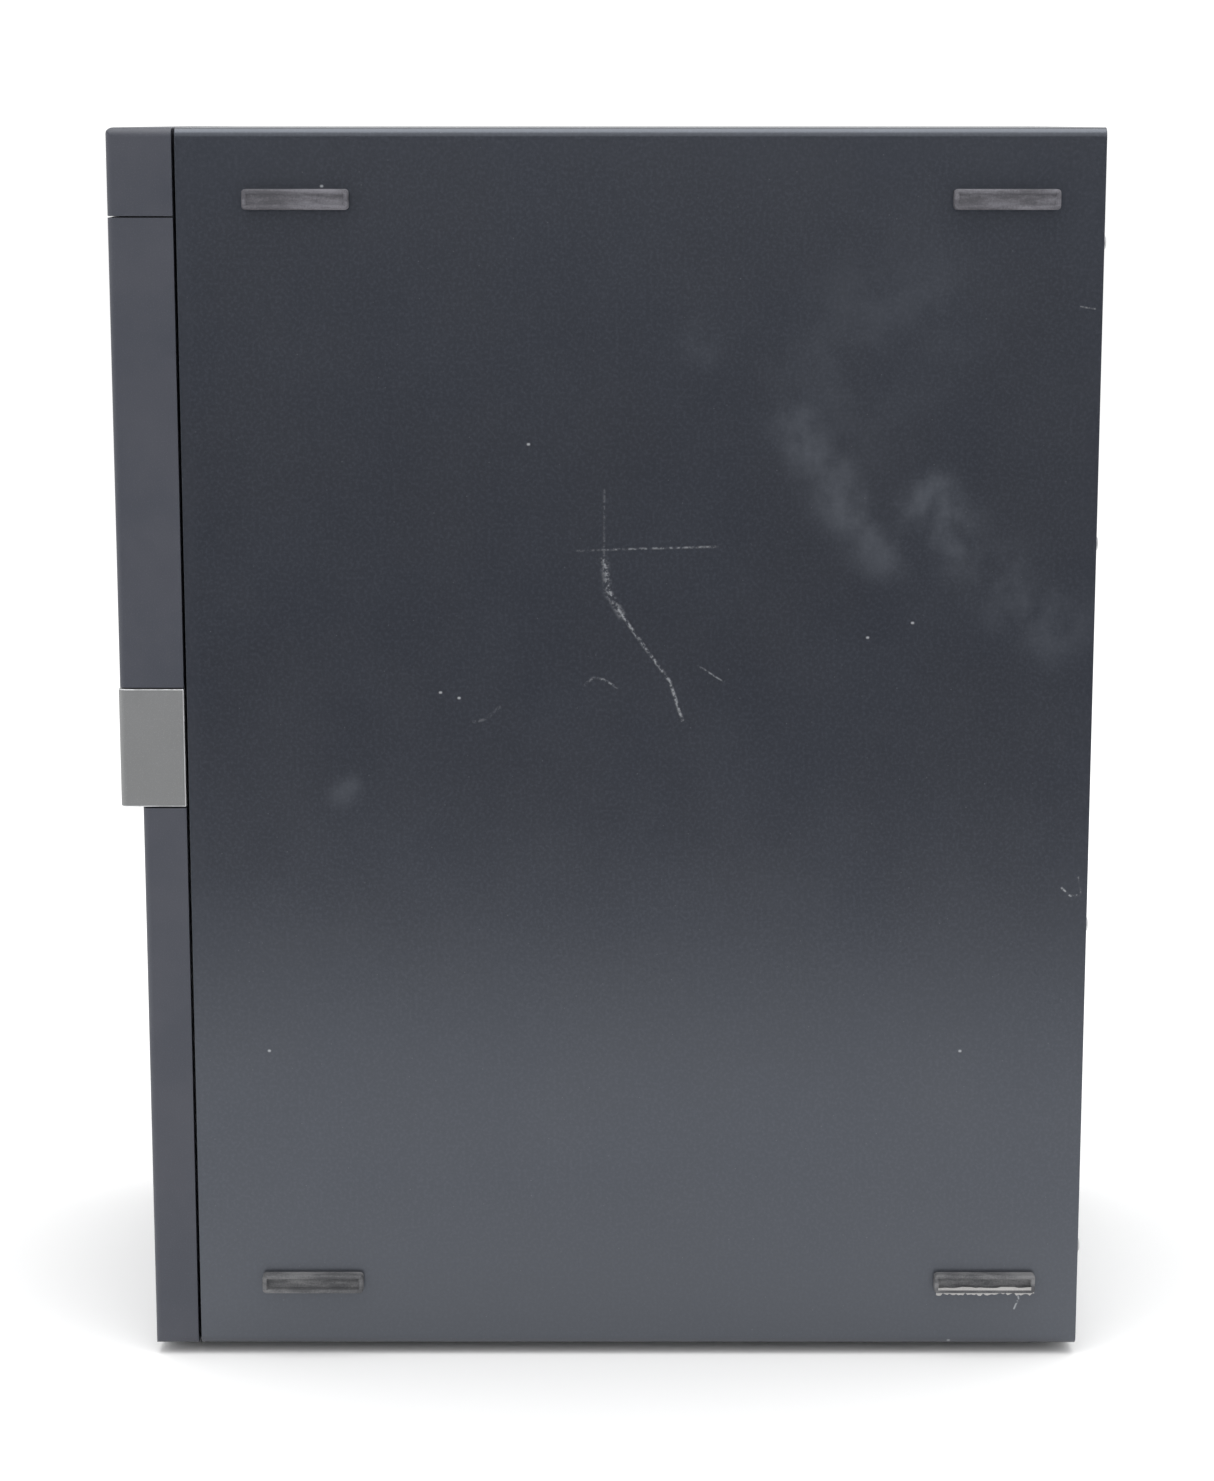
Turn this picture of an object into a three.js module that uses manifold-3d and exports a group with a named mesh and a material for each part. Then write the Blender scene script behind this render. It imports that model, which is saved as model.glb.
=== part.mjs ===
// Desktop computer tower: an office machine that stands upright or lies on its right side.
// Millimetres, +Z up. The front bezel faces -Y, the skin with the four side feet faces +X, and the
// access panel faces -X. The origin is at the middle of the footprint, on the table.
import * as THREE from "three";
import { mergeVertices } from "three/addons/utils/BufferGeometryUtils.js";
import Module from "manifold-3d";

const wasm = await Module();
wasm.setup();

// ---------------------------------------------------------------- driving dimensions

const BODY_WIDTH = 167; // access panel's face to skin's face
const BODY_HEIGHT = 335; // without the bottom feet
const SKIN_DEPTH = 244.4; // sheet-metal body, front to rear
const BEZEL_DEPTH = 17.8; // accent band's face to the bezel's back
const SEAM = 0.8; // dark line between bezel and sheet metal
const REAR_REACH = 9; // padlock loop behind the sheet metal
const SHEET = 1; // steel sheet
const BEND = 2.5; // outer radius of the sheet's bends
const GAP = 0.3; // between pieces that rest on each other
const FOOT_HEIGHT = 3;
const SIDE_FOOT_HEIGHT = 3;

const SIDE_FOOT_LENGTH = 28;
const SIDE_FOOT_WIDTH = 5.4;
const SIDE_FOOT_FRONT_INSET = 31.6; // skin's front edge to a foot's middle
const SIDE_FOOT_REAR_INSET = 26; // skin's rear edge to a foot's middle
const SIDE_FOOT_END_INSET = 18.6; // body's top or bottom to a foot's middle
const BOTTOM_FOOT_RADIUS = 8;
const BOTTOM_FOOT_SIDE_INSET = 20;
const BOTTOM_FOOT_END_INSET = 24;

const RETURN = 6; // width of the sheets' return flanges
const PANEL_TOP_LIP = 13; // access panel's lips, from its outside face
const PANEL_BOTTOM_LIP = 5;
const PANEL_LIP_DROP = 0.8; // top lip below the skin's sheet
const BEZEL_WALL = 2.5;
const BEZEL_SIDE_WALL = 3;
const BEZEL_CORNER = 2;
const BEZEL_SPLIT = 0.4; // lines between the bezel's pieces
const LOWER_SETBACK = 5.9; // lower bezel behind the accent band
const UPPER_SETBACK = 0.4; // upper bezel behind the accent band
const ACCENT_HEIGHT = 32.4;
const ACCENT_BELOW_PORTS = 28.1; // accent band's top below the ports' middle
const CAP_HEIGHT = 23;

const DRIVE_WIDTH = 128; // slim optical drive
const DRIVE_HEIGHT = 12.7;
const DRIVE_DEPTH = 125.6;
const DRIVE_BELOW_CAP = 18.7; // drive's underside below the cap
const BAY_WIDTH = 149; // 5.25 inch bay
const BAY_HEIGHT = 41.4;
const BAY_BELOW_DRIVE = 8.4;
const BAY_DEPTH = 117.6;
const PORTS_BELOW_BAY = 29.5; // front ports' middle below the bay
const PORT_MOUTH = [14.4, 6.8]; // outside of a front port's shell
const PORT_DEPTH = 13.8;
const PORT_WALL = 0.8;
const BUTTON_SIZE = 18;
const BUTTON_TRAVEL = 1.2;

const SUPPLY_SIZE = [150, 100, 86]; // power supply: wide, deep, high
const BOARD_THICKNESS = 1.6;
const STANDOFF = 6.4;
const TRAY_OFFSET = 2; // tray clear of the skin
const SLOT_PITCH = 20.32;
const SLOT_COUNT = 4;
const SLOT_FLOOR = 11.64; // lowest slot's middle above the walls' lower edge
const SLOT_LENGTH = 113;
const SLOT_HEIGHT = 13;
const COVER_WIDTH = 18.4;
const COVER_TAB = 7.9;
const FAN_SIZE = 92;
const FAN_DEPTH = 25;
const SUPPLY_FAN_SIZE = 80;
const SUPPLY_FAN_DEPTH = 20;

// ---------------------------------------------------------------- places worked out from them

const LEFT = -(BODY_WIDTH + SIDE_FOOT_HEIGHT) / 2;
const RIGHT = LEFT + BODY_WIDTH;
const BOTTOM = FOOT_HEIGHT;
const TOP = BOTTOM + BODY_HEIGHT;
const FRONT = -(BEZEL_DEPTH + SEAM + SKIN_DEPTH + REAR_REACH) / 2;
const BEZEL_BACK = FRONT + BEZEL_DEPTH;
const SKIN_FRONT = BEZEL_BACK + SEAM;
const SKIN_REAR = SKIN_FRONT + SKIN_DEPTH;
const MIDDLE = (LEFT + RIGHT) / 2;

const INNER_RIGHT = RIGHT - SHEET;
const INNER_TOP = TOP - SHEET;
const INNER_BOTTOM = BOTTOM + SHEET;
const SKIN_LEFT = LEFT + BEND + GAP; // where the skin's top and bottom stop
const LIP_TOP = INNER_TOP - PANEL_LIP_DROP;
const LIP_BOTTOM = INNER_BOTTOM + GAP + 0.1;

// steel walls inside the skin's front and rear return flanges
const FRONT_WALL = [SKIN_FRONT + SHEET + 0.5, SKIN_FRONT + 2 * SHEET + 0.5];
const REAR_WALL = [SKIN_REAR - 2 * SHEET - GAP, SKIN_REAR - SHEET - GAP];
const WALL_X = [LEFT + SHEET + GAP, INNER_RIGHT - GAP];
const WALL_Z = [LIP_BOTTOM + SHEET + GAP, LIP_TOP - SHEET - GAP];

// the front from the top down: cap, optical drive, bay, ports, accent band, intake
const UPPER_FRONT = FRONT + UPPER_SETBACK;
const LOWER_FRONT = FRONT + LOWER_SETBACK;
const CAP_Z = [TOP - CAP_HEIGHT, TOP];
const DRIVE_Z = [CAP_Z[0] - DRIVE_BELOW_CAP, CAP_Z[0] - DRIVE_BELOW_CAP + DRIVE_HEIGHT];
const DRIVE_X = [MIDDLE - DRIVE_WIDTH / 2, MIDDLE + DRIVE_WIDTH / 2];
const DRIVE_Y = [UPPER_FRONT + BEZEL_WALL + 0.5, UPPER_FRONT + BEZEL_WALL + 0.5 + DRIVE_DEPTH];
const BAY_Z = [DRIVE_Z[0] - BAY_BELOW_DRIVE - BAY_HEIGHT, DRIVE_Z[0] - BAY_BELOW_DRIVE];
const BAY_X = [MIDDLE + 0.5 - BAY_WIDTH / 2, MIDDLE + 0.5 + BAY_WIDTH / 2];
const PORT_HEIGHT = BAY_Z[0] - PORTS_BELOW_BAY;
const ACCENT_TOP = PORT_HEIGHT - ACCENT_BELOW_PORTS;
const ACCENT_Z = [ACCENT_TOP - ACCENT_HEIGHT, ACCENT_TOP];
const UPPER_Z = [ACCENT_Z[1] + BEZEL_SPLIT, CAP_Z[0] - BEZEL_SPLIT];
const LOWER_Z = [BOTTOM, ACCENT_Z[0] - BEZEL_SPLIT];

// board: its tray, its back, and the face that carries the parts
const TRAY_X = [INNER_RIGHT - TRAY_OFFSET - SHEET, INNER_RIGHT - TRAY_OFFSET];
const BOARD_BACK = TRAY_X[0] - STANDOFF;
const BOARD_FACE = BOARD_BACK - BOARD_THICKNESS;
const BOARD_Y = [SKIN_FRONT + 19.4, REAR_WALL[0] - 2.7];
const BOARD_Z = [INNER_BOTTOM + 4, BAY_Z[0] - 3.5];

// rear openings
const PORTS_Z = [BOARD_Z[1] - 150.5, BOARD_Z[1] - 0.5];
const PORTS_X = [BOARD_FACE + 3.2 - 44.4, BOARD_FACE + 3.2];
const LAST_SLOT = WALL_Z[0] + SLOT_FLOOR;
const FIRST_SLOT = LAST_SLOT + (SLOT_COUNT - 1) * SLOT_PITCH;
const SLOT_X = [BOARD_FACE - 3.4 - SLOT_LENGTH, BOARD_FACE - 3.4];
const COVER_Y = [REAR_WALL[0] - GAP - SHEET, REAR_WALL[0] - GAP];
const TAB_X = SLOT_X[0] + 0.3;
const FAN_CENTRE = [PORTS_X[0] - 13 - FAN_SIZE / 2, BOARD_Z[1] - 1 - FAN_SIZE / 2];
const SUPPLY_X = [INNER_RIGHT - 2.5 - SUPPLY_SIZE[0], INNER_RIGHT - 2.5];
const SUPPLY_Y = [REAR_WALL[0] - GAP - SUPPLY_SIZE[1], REAR_WALL[0] - GAP];
const SUPPLY_Z = [WALL_Z[1] + 0.6 - SUPPLY_SIZE[2], WALL_Z[1] + 0.6];
const SUPPLY_FAN_CENTRE = [SUPPLY_X[0] + 8 + SUPPLY_FAN_SIZE / 2, (SUPPLY_Z[0] + SUPPLY_Z[1]) / 2];
const INLET_CENTRE = [SUPPLY_X[1] - 27, SUPPLY_FAN_CENTRE[1]];
const INLET_SIZE = [28, 20];
const INLET_DEPTH = 20;

// ---------------------------------------------------------------- materials

const material = (color, roughness, metalness = 0) =>
  new THREE.MeshStandardMaterial({ color, roughness, metalness });
const PAINT = material(0x3a3c42, 0.5, 0.2);
const STEEL = material(0x9a9c9e, 0.4, 0.9);
const BLACK_PLASTIC = material(0x303238, 0.6);
const SILVER_PLASTIC = material(0x8a8b8c, 0.45, 0.3);
const RUBBER = material(0x4a4a4e, 0.9);
const BOARD_GREEN = material(0x1d4a35, 0.6);
const ALUMINIUM = material(0xb4b6b8, 0.35, 1);
const CONNECTOR = material(0x18191b, 0.5);
const CABLE = material(0x141416, 0.7);

// ---------------------------------------------------------------- shapes

const X = new THREE.Vector3(1, 0, 0);
const Y = new THREE.Vector3(0, 1, 0);
const Z = new THREE.Vector3(0, 0, 1);
const ARC_STEPS = 3;

// A closed geometry as a solid for cutting and joining, and back again.
function solidOf(geometry) {
  const bare = new THREE.BufferGeometry().setAttribute(
    "position",
    (geometry.index ? geometry.toNonIndexed() : geometry).getAttribute("position"),
  );
  const merged = mergeVertices(bare, 1e-4);
  return new wasm.Manifold(
    new wasm.Mesh({
      numProp: 3,
      vertProperties: merged.attributes.position.array,
      triVerts: new Uint32Array(merged.index.array),
    }),
  );
}

function geometryOf(solid) {
  const { vertProperties, triVerts } = solid.getMesh();
  const geometry = new THREE.BufferGeometry();
  geometry.setAttribute("position", new THREE.BufferAttribute(vertProperties, 3));
  geometry.setIndex(new THREE.BufferAttribute(triVerts, 1));
  return geometry;
}

const join = (...parts) => geometryOf(parts.map(solidOf).reduce((a, b) => a.add(b)));
const cut = (body, ...tools) =>
  geometryOf(tools.map(solidOf).reduce((a, b) => a.subtract(b), solidOf(body)));
const common = (...parts) => geometryOf(parts.map(solidOf).reduce((a, b) => a.intersect(b)));

// A box from its ranges along X, Y and Z.
function block([x0, x1], [y0, y1], [z0, z1]) {
  return new THREE.BoxGeometry(x1 - x0, y1 - y0, z1 - z0).translate(
    (x0 + x1) / 2,
    (y0 + y1) / 2,
    (z0 + z1) / 2,
  );
}

// The range of a given width around a middle.
const around = (middle, width) => [middle - width / 2, middle + width / 2];
const grow = ([low, high], by) => [low - by, high + by];

// A flat shape with rounded corners: two ranges and a radius.
function rounded([a0, a1], [b0, b1], r) {
  const shape = new THREE.Shape();
  shape.moveTo(a0 + r, b0);
  shape.absarc(a1 - r, b0 + r, r, -Math.PI / 2, 0);
  shape.absarc(a1 - r, b1 - r, r, 0, Math.PI / 2);
  shape.absarc(a0 + r, b1 - r, r, Math.PI / 2, Math.PI);
  shape.absarc(a0 + r, b0 + r, r, Math.PI, 1.5 * Math.PI);
  return shape;
}

// A flat outline drawn in the plane across an axis, made solid along that axis.
// Across x it is drawn in (y, z), across y in (x, z), and across z in (x, y).
function extrude(shape, axis, [from, to], curveSegments = ARC_STEPS) {
  const depth = to - from;
  const geometry = new THREE.ExtrudeGeometry(shape, { depth, bevelEnabled: false, curveSegments });
  if (axis === "x") {
    geometry.applyMatrix4(new THREE.Matrix4().makeBasis(Y, Z, X)).translate(from, 0, 0);
  } else if (axis === "y") {
    geometry.rotateX(Math.PI / 2).translate(0, to, 0);
  } else {
    geometry.translate(0, 0, from);
  }
  return geometry;
}

// A round bar along an axis, from one end to the other, around a centre in the plane across it.
function rod(axis, [from, to], [a, b], radius, sides = 20) {
  const bar = new THREE.CylinderGeometry(radius, radius, to - from, sides);
  const half = (from + to) / 2;
  if (axis === "x") return bar.rotateZ(Math.PI / 2).translate(half, a, b);
  if (axis === "y") return bar.translate(a, half, b);
  return bar.rotateX(Math.PI / 2).translate(a, b, half);
}

const tower = new THREE.Group();

function add(name, geometry, look, position = [0, 0, 0], parent = tower) {
  const mesh = new THREE.Mesh(geometry, look);
  mesh.name = name;
  mesh.position.set(...position);
  parent.add(mesh);
  return mesh;
}

// ---------------------------------------------------------------- sheet-metal body

// The outer skin: right side, top and bottom from one sheet, with return flanges front and rear.
function outerSkin() {
  const channel = (inset) => {
    const r = Math.max(BEND - inset, 0.5);
    const shape = new THREE.Shape();
    shape.moveTo(SKIN_LEFT, BOTTOM);
    shape.absarc(RIGHT - BEND, BOTTOM + BEND, BEND, -Math.PI / 2, 0);
    shape.absarc(RIGHT - BEND, TOP - BEND, BEND, 0, Math.PI / 2);
    shape.lineTo(SKIN_LEFT, TOP);
    shape.lineTo(SKIN_LEFT, TOP - inset);
    shape.absarc(RIGHT - inset - r, TOP - inset - r, r, Math.PI / 2, 0, true);
    shape.absarc(RIGHT - inset - r, BOTTOM + inset + r, r, 0, -Math.PI / 2, true);
    shape.lineTo(SKIN_LEFT, BOTTOM + inset);
    return shape;
  };
  const rearReturn = [SKIN_REAR - SHEET, SKIN_REAR];
  return join(
    extrude(channel(SHEET), "y", [SKIN_FRONT, SKIN_REAR]),
    cut(
      extrude(channel(RETURN), "y", rearReturn),
      block([LEFT - 1, LEFT + PANEL_TOP_LIP + 0.5], grow(rearReturn, 1), [INNER_BOTTOM, INNER_TOP]),
    ),
    block([INNER_RIGHT - RETURN, INNER_RIGHT + 0.5], [SKIN_FRONT, SKIN_FRONT + SHEET], WALL_Z),
  );
}

// The removable left side: a pan whose top and bottom lips tuck under the skin.
function accessPanel() {
  const inner = LEFT + SHEET;
  const topEnd = LEFT + PANEL_TOP_LIP;
  const bottomEnd = LEFT + PANEL_BOTTOM_LIP;
  const shape = new THREE.Shape();
  shape.moveTo(topEnd, LIP_TOP);
  shape.lineTo(LEFT + BEND, LIP_TOP);
  shape.lineTo(LEFT + BEND, TOP);
  shape.absarc(LEFT + BEND, TOP - BEND, BEND, Math.PI / 2, Math.PI);
  shape.absarc(LEFT + BEND, BOTTOM + BEND, BEND, Math.PI, 1.5 * Math.PI);
  shape.lineTo(LEFT + BEND, LIP_BOTTOM);
  shape.lineTo(bottomEnd, LIP_BOTTOM);
  shape.lineTo(bottomEnd, LIP_BOTTOM + SHEET);
  shape.lineTo(inner, LIP_BOTTOM + SHEET);
  shape.lineTo(inner, LIP_TOP - SHEET);
  shape.lineTo(topEnd, LIP_TOP - SHEET);
  const flangeX = [LEFT + SHEET / 2, LEFT + SHEET + RETURN];
  const flangeZ = [LIP_BOTTOM + SHEET / 2, LIP_TOP - SHEET / 2];
  const pan = join(
    extrude(shape, "y", [SKIN_FRONT, SKIN_REAR]),
    block(flangeX, [SKIN_FRONT, SKIN_FRONT + SHEET], flangeZ),
    block(flangeX, [SKIN_REAR - SHEET, SKIN_REAR], flangeZ),
  );
  return cut(pan, block(grow([LEFT, LEFT + SHEET], 0.5), grow(CUP_Y, GAP), grow(CUP_Z, GAP)));
}

// Room at a wall's lower corner for the panel's bottom lip to swing out.
const lipRelief = (y) =>
  block([LEFT - 1, LEFT + PANEL_BOTTOM_LIP + 1.5], y, [BOTTOM, BOTTOM + PANEL_BOTTOM_LIP + 1.5]);

// The pull latch sits in a plastic cup let into the access panel.
const CUP_LENGTH = 60;
const CUP_HEIGHT = 24;
const CUP_DEPTH = 8.6;
const CUP_WALL = 1.4;
const CUP_Y = around((SUPPLY_Y[0] + SUPPLY_Y[1]) / 2 - 10, CUP_LENGTH);
const CUP_Z = [TOP - 14 - CUP_HEIGHT, TOP - 14];
const LATCH_TOP = CUP_Z[1] - 1.2;
const LATCH_AXIS = { x: LEFT + 2, z: LATCH_TOP - 1.6 };
const LATCH_PIN = 0.8;

function latchCup() {
  const tub = cut(
    block([LEFT, LEFT + CUP_DEPTH], CUP_Y, CUP_Z),
    block([LEFT - 1, LEFT + CUP_DEPTH - CUP_WALL], grow(CUP_Y, -CUP_WALL), [
      CUP_Z[0] + CUP_WALL,
      CUP_Z[1] + 1,
    ]),
  );
  const lipX = [LEFT + SHEET + GAP, LEFT + SHEET + GAP + 1.2];
  const lips = [CUP_Y[0] - 1, CUP_Y[1] + 1].map((y) => block(lipX, around(y, 4), grow(CUP_Z, -2)));
  const bearing = rod("y", grow(CUP_Y, -0.4), [LATCH_AXIS.x, LATCH_AXIS.z], LATCH_PIN + 0.25, 12);
  return cut(join(tub, ...lips), bearing);
}

// A paddle pivoting along its top edge, with a claw that reaches up behind the panel.
function panelLatch() {
  const y = grow(CUP_Y, -CUP_WALL - GAP);
  const middle = around((CUP_Y[0] + CUP_Y[1]) / 2, 20);
  const { x, z } = LATCH_AXIS;
  return join(
    rod("y", y, [x, z], 1.5, 12),
    rod("y", grow(CUP_Y, -0.7), [x, z], LATCH_PIN, 12),
    block([x - 1.2, x + 0.6], y, [CUP_Z[0] + 9, z]),
    block([x - 0.4, x + 3.2], grow(y, -1), [CUP_Z[0] + 9, CUP_Z[0] + 10.6]),
    block([x - 0.5, x + 1.3], middle, [z, TOP - 6.5]),
    block([x + 0.5, x + 4], middle, [TOP - 8.1, TOP - 6.5]),
  );
}

function frontWall() {
  const plate = block(WALL_X, FRONT_WALL, WALL_Z);
  const through = grow(FRONT_WALL, 1);
  const columns = 4;
  const intake = Array.from({ length: columns }, (_, i) => {
    const x = MIDDLE + (i - (columns - 1) / 2) * 33;
    return block(around(x, 27), through, [LOWER_Z[0] + 17, LOWER_Z[1] - 19]);
  });
  return cut(
    plate,
    block(grow(DRIVE_X, 1), through, grow(DRIVE_Z, 1)),
    block(grow(BAY_X, -0.5), through, grow(BAY_Z, 0.5)),
    block(around(MIDDLE, 140), through, around(PORT_HEIGHT, 30)),
    lipRelief(through),
    ...intake,
  );
}

function rearWall() {
  const through = grow(REAR_WALL, 1);
  const [fanX, fanZ] = FAN_CENTRE;
  const vents = [];
  const ventPitch = 9;
  const ventRadius = FAN_SIZE / 2 - 4;
  const ventRows = Math.floor((ventRadius - 4) / ventPitch);
  for (let row = -ventRows; row <= ventRows; row += 1) {
    const width = 2 * Math.sqrt(ventRadius ** 2 - (row * ventPitch) ** 2);
    vents.push(block(around(fanX, width), through, around(fanZ + row * ventPitch, 6)));
  }
  for (let row = 0; row < 3; row += 1) {
    const z = PORTS_Z[0] + 8 + row * ventPitch;
    vents.push(block(around(fanX + 16, 56), through, around(z, 5)));
  }
  const slots = slotHeights().map((z) =>
    block([TAB_X - 1.2, SLOT_X[1]], through, around(z, SLOT_HEIGHT)),
  );
  const { x, y } = RETAINER_AXIS;
  const ear = (z) =>
    cut(
      block(around(x, 5), [REAR_WALL[0] + 0.5, y + 2.4], around(z, 1)),
      rod("z", around(z, 3), [x, y], PIN_RADIUS + 0.25, 12),
    );
  const plate = join(
    block(WALL_X, REAR_WALL, WALL_Z),
    ear(RETAINER_Z[0] - 0.8),
    ear(RETAINER_Z[1] + 0.8),
  );
  return cut(
    plate,
    extrude(rounded(grow(SUPPLY_X, -3), [SUPPLY_Z[0] + 3, SUPPLY_Z[1] - 3], 3), "y", through),
    block(PORTS_X, through, PORTS_Z),
    block(around(LOOP_X, 7), through, around(LOOP_Z - 18, 3)),
    lipRelief(through),
    ...vents,
    ...slots,
  );
}

const slotHeights = () =>
  Array.from({ length: SLOT_COUNT }, (_, i) => FIRST_SLOT - i * SLOT_PITCH);

// An expansion slot's blank: a strip inside the rear wall with a tab that passes out through it.
function slotCover() {
  const length = SLOT_LENGTH + 3;
  return join(
    block([0, length], [0, SHEET], around(0, COVER_WIDTH)),
    block([0, SHEET], [0, COVER_TAB + SHEET], around(0, SLOT_HEIGHT - 1.4)),
  );
}

// A hinged bar outside the rear wall that holds the slot covers' tabs down.
const RETAINER_AXIS = { x: TAB_X - 14, y: REAR_WALL[1] + 3.8 };
const RETAINER_Z = [LAST_SLOT - 6.6, FIRST_SLOT + 6.6];
const PIN_RADIUS = 1;

function slotRetainer() {
  const { x, y } = RETAINER_AXIS;
  const cover = [y + 3, y + 4.6];
  const press = [x + 11.4, x + 12.6];
  const middle = (RETAINER_Z[0] + RETAINER_Z[1]) / 2;
  return join(
    rod("z", RETAINER_Z, [x, y], 2.2, 12),
    rod("z", grow(RETAINER_Z, 1.4), [x, y], PIN_RADIUS, 12),
    block([x - 1, press[1]], cover, RETAINER_Z),
    block(around(x, 2), [y, cover[1] - 0.5], RETAINER_Z),
    block(press, [y - 2, cover[1]], RETAINER_Z),
    block([x + 4, x + 9], [cover[1] - 0.2, cover[1] + 1.1], around(middle, 24)),
  );
}

// A steel ring that a padlock's shackle goes through.
const LOOP_X = LEFT + 15;
const LOOP_Z = PORTS_Z[0] + 28;
const LOOP_WIRE = 2.2;
const LOOP_HEIGHT = 15;

function padlockLoop() {
  const y = [REAR_WALL[1] + GAP, SKIN_REAR + REAR_REACH];
  const ring = rounded(y, around(LOOP_Z, LOOP_HEIGHT), 2);
  ring.holes.push(
    rounded([y[0] + 1.2, y[1] - LOOP_WIRE], around(LOOP_Z, LOOP_HEIGHT - 2 * LOOP_WIRE), 1),
  );
  return extrude(ring, "x", around(LOOP_X, 3));
}

// The tray that carries the board, on its stamped standoffs.
function boardTray() {
  const standoffs = [];
  for (const y of [BOARD_Y[0] + 8, (BOARD_Y[0] + BOARD_Y[1]) / 2, BOARD_Y[1] - 18]) {
    for (const z of [BOARD_Z[0] + 8, (BOARD_Z[0] + BOARD_Z[1]) / 2, BOARD_Z[1] - 8]) {
      standoffs.push(rod("x", [BOARD_BACK + GAP, TRAY_X[0] + 0.5], [y, z], 3.5, 8));
    }
  }
  const trayY = [FRONT_WALL[1] + GAP, REAR_WALL[0] - GAP];
  const trayZ = [WALL_Z[0], BOARD_Z[1]];
  const flange = block([TRAY_X[0] - RETURN, TRAY_X[1]], trayY, [WALL_Z[0], WALL_Z[0] + SHEET]);
  return join(block(TRAY_X, trayY, trayZ), flange, ...standoffs);
}

// ---------------------------------------------------------------- front bezel

// The bezel's cross-section seen from above: a face with two side walls going back.
function bezelShell(front, [z0, z1]) {
  const back = BEZEL_BACK;
  const r = BEZEL_CORNER;
  const shape = new THREE.Shape();
  shape.moveTo(LEFT, back);
  shape.absarc(LEFT + r, front + r, r, Math.PI, 1.5 * Math.PI);
  shape.absarc(RIGHT - r, front + r, r, 1.5 * Math.PI, 2 * Math.PI);
  shape.lineTo(RIGHT, back);
  shape.lineTo(RIGHT - BEZEL_SIDE_WALL, back);
  shape.lineTo(RIGHT - BEZEL_SIDE_WALL, front + BEZEL_WALL);
  shape.lineTo(LEFT + BEZEL_SIDE_WALL, front + BEZEL_WALL);
  shape.lineTo(LEFT + BEZEL_SIDE_WALL, back);
  return extrude(shape, "z", [z0, z1]);
}

// The body's outline from the front, with the same rounded long edges as the sheet metal.
const bodyOutline = () =>
  extrude(rounded([LEFT, RIGHT], [BOTTOM, TOP], BEND), "y", [FRONT - 1, BEZEL_BACK + 1]);

const BACK_FRAME_Y = [BEZEL_BACK - 2.5, BEZEL_BACK];
const FRAME_INSET = BEZEL_SIDE_WALL - 0.2;
const portCentres = [-24, -6, 12, 30];
const TYPE_C_X = -43;
const JACK_X = -62;
const LIGHT_X = 44;
const BUTTON_X = 62;

function frontBezel() {
  const upper = bezelShell(UPPER_FRONT, UPPER_Z);
  const lower = bezelShell(LOWER_FRONT, LOWER_Z);
  const floor = block(grow([LEFT, RIGHT], -1), [LOWER_FRONT + 1, BEZEL_BACK], [BOTTOM, BOTTOM + BEZEL_WALL]);
  const ceiling = block(
    grow([LEFT, RIGHT], -1),
    [LOWER_FRONT + 1, BEZEL_BACK],
    [LOWER_Z[1] - BEZEL_WALL, LOWER_Z[1]],
  );
  const upperFloor = block(
    grow([LEFT, RIGHT], -1),
    [UPPER_FRONT + 1, BEZEL_BACK],
    [UPPER_Z[0], UPPER_Z[0] + BEZEL_WALL],
  );
  const frameX = grow([LEFT, RIGHT], -FRAME_INSET - GAP);
  const frameZ = [BOTTOM + 1, TOP - BEZEL_WALL - GAP];
  const backFrame = cut(
    join(
      block(frameX, BACK_FRAME_Y, frameZ),
      block(grow([LEFT, RIGHT], -1), BACK_FRAME_Y, UPPER_Z),
      block(grow([LEFT, RIGHT], -1), BACK_FRAME_Y, LOWER_Z),
    ),
    block(grow(frameX, -7), grow(BACK_FRAME_Y, 1), [UPPER_Z[0] + 9, UPPER_Z[1] - 2]),
    block(grow(frameX, -7), grow(BACK_FRAME_Y, 1), [LOWER_Z[0] + 9, LOWER_Z[1] - 9]),
  );
  const shell = join(upper, lower, floor, ceiling, upperFloor, backFrame);
  const face = [UPPER_FRONT - 1, UPPER_FRONT + BEZEL_WALL + 0.4];
  const windows = [
    block(grow(DRIVE_X, 0.7), face, grow(DRIVE_Z, 0.45)),
    block(grow(BAY_X, 0.2), face, grow(BAY_Z, 0.2)),
    extrude(rounded(around(BUTTON_X, BUTTON_SIZE + 0.6), around(PORT_HEIGHT, BUTTON_SIZE + 0.6), 3.3), "y", face),
    extrude(rounded(around(TYPE_C_X, 10.4), around(PORT_HEIGHT, 4.6), 2.1), "y", face),
    rod("y", face, [JACK_X, PORT_HEIGHT], 4, 20),
    block(around(LIGHT_X, 2.6), face, around(PORT_HEIGHT, 7.6)),
    ...portCentres.map((x) =>
      block(around(x, PORT_MOUTH[0] + 0.6), face, around(PORT_HEIGHT, PORT_MOUTH[1] + 0.6)),
    ),
    ...intakeSlots(),
  ];
  return common(cut(shell, ...windows), bodyOutline());
}

// Rows of long intake slots in the lower bezel.
function intakeSlots() {
  const slots = [];
  const pitch = 8.4;
  const rows = 1 + Math.floor((LOWER_Z[1] - LOWER_Z[0] - 33) / pitch);
  const width = 44;
  const face = [LOWER_FRONT - 1, LOWER_FRONT + BEZEL_WALL + 0.4];
  for (let row = 0; row < rows; row += 1) {
    for (const column of [-1, 0, 1]) {
      const x = MIDDLE + column * (width + 5);
      const z = LOWER_Z[0] + 18 + row * pitch;
      slots.push(block(around(x, width), face, around(z, 4)));
    }
  }
  return slots;
}

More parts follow.
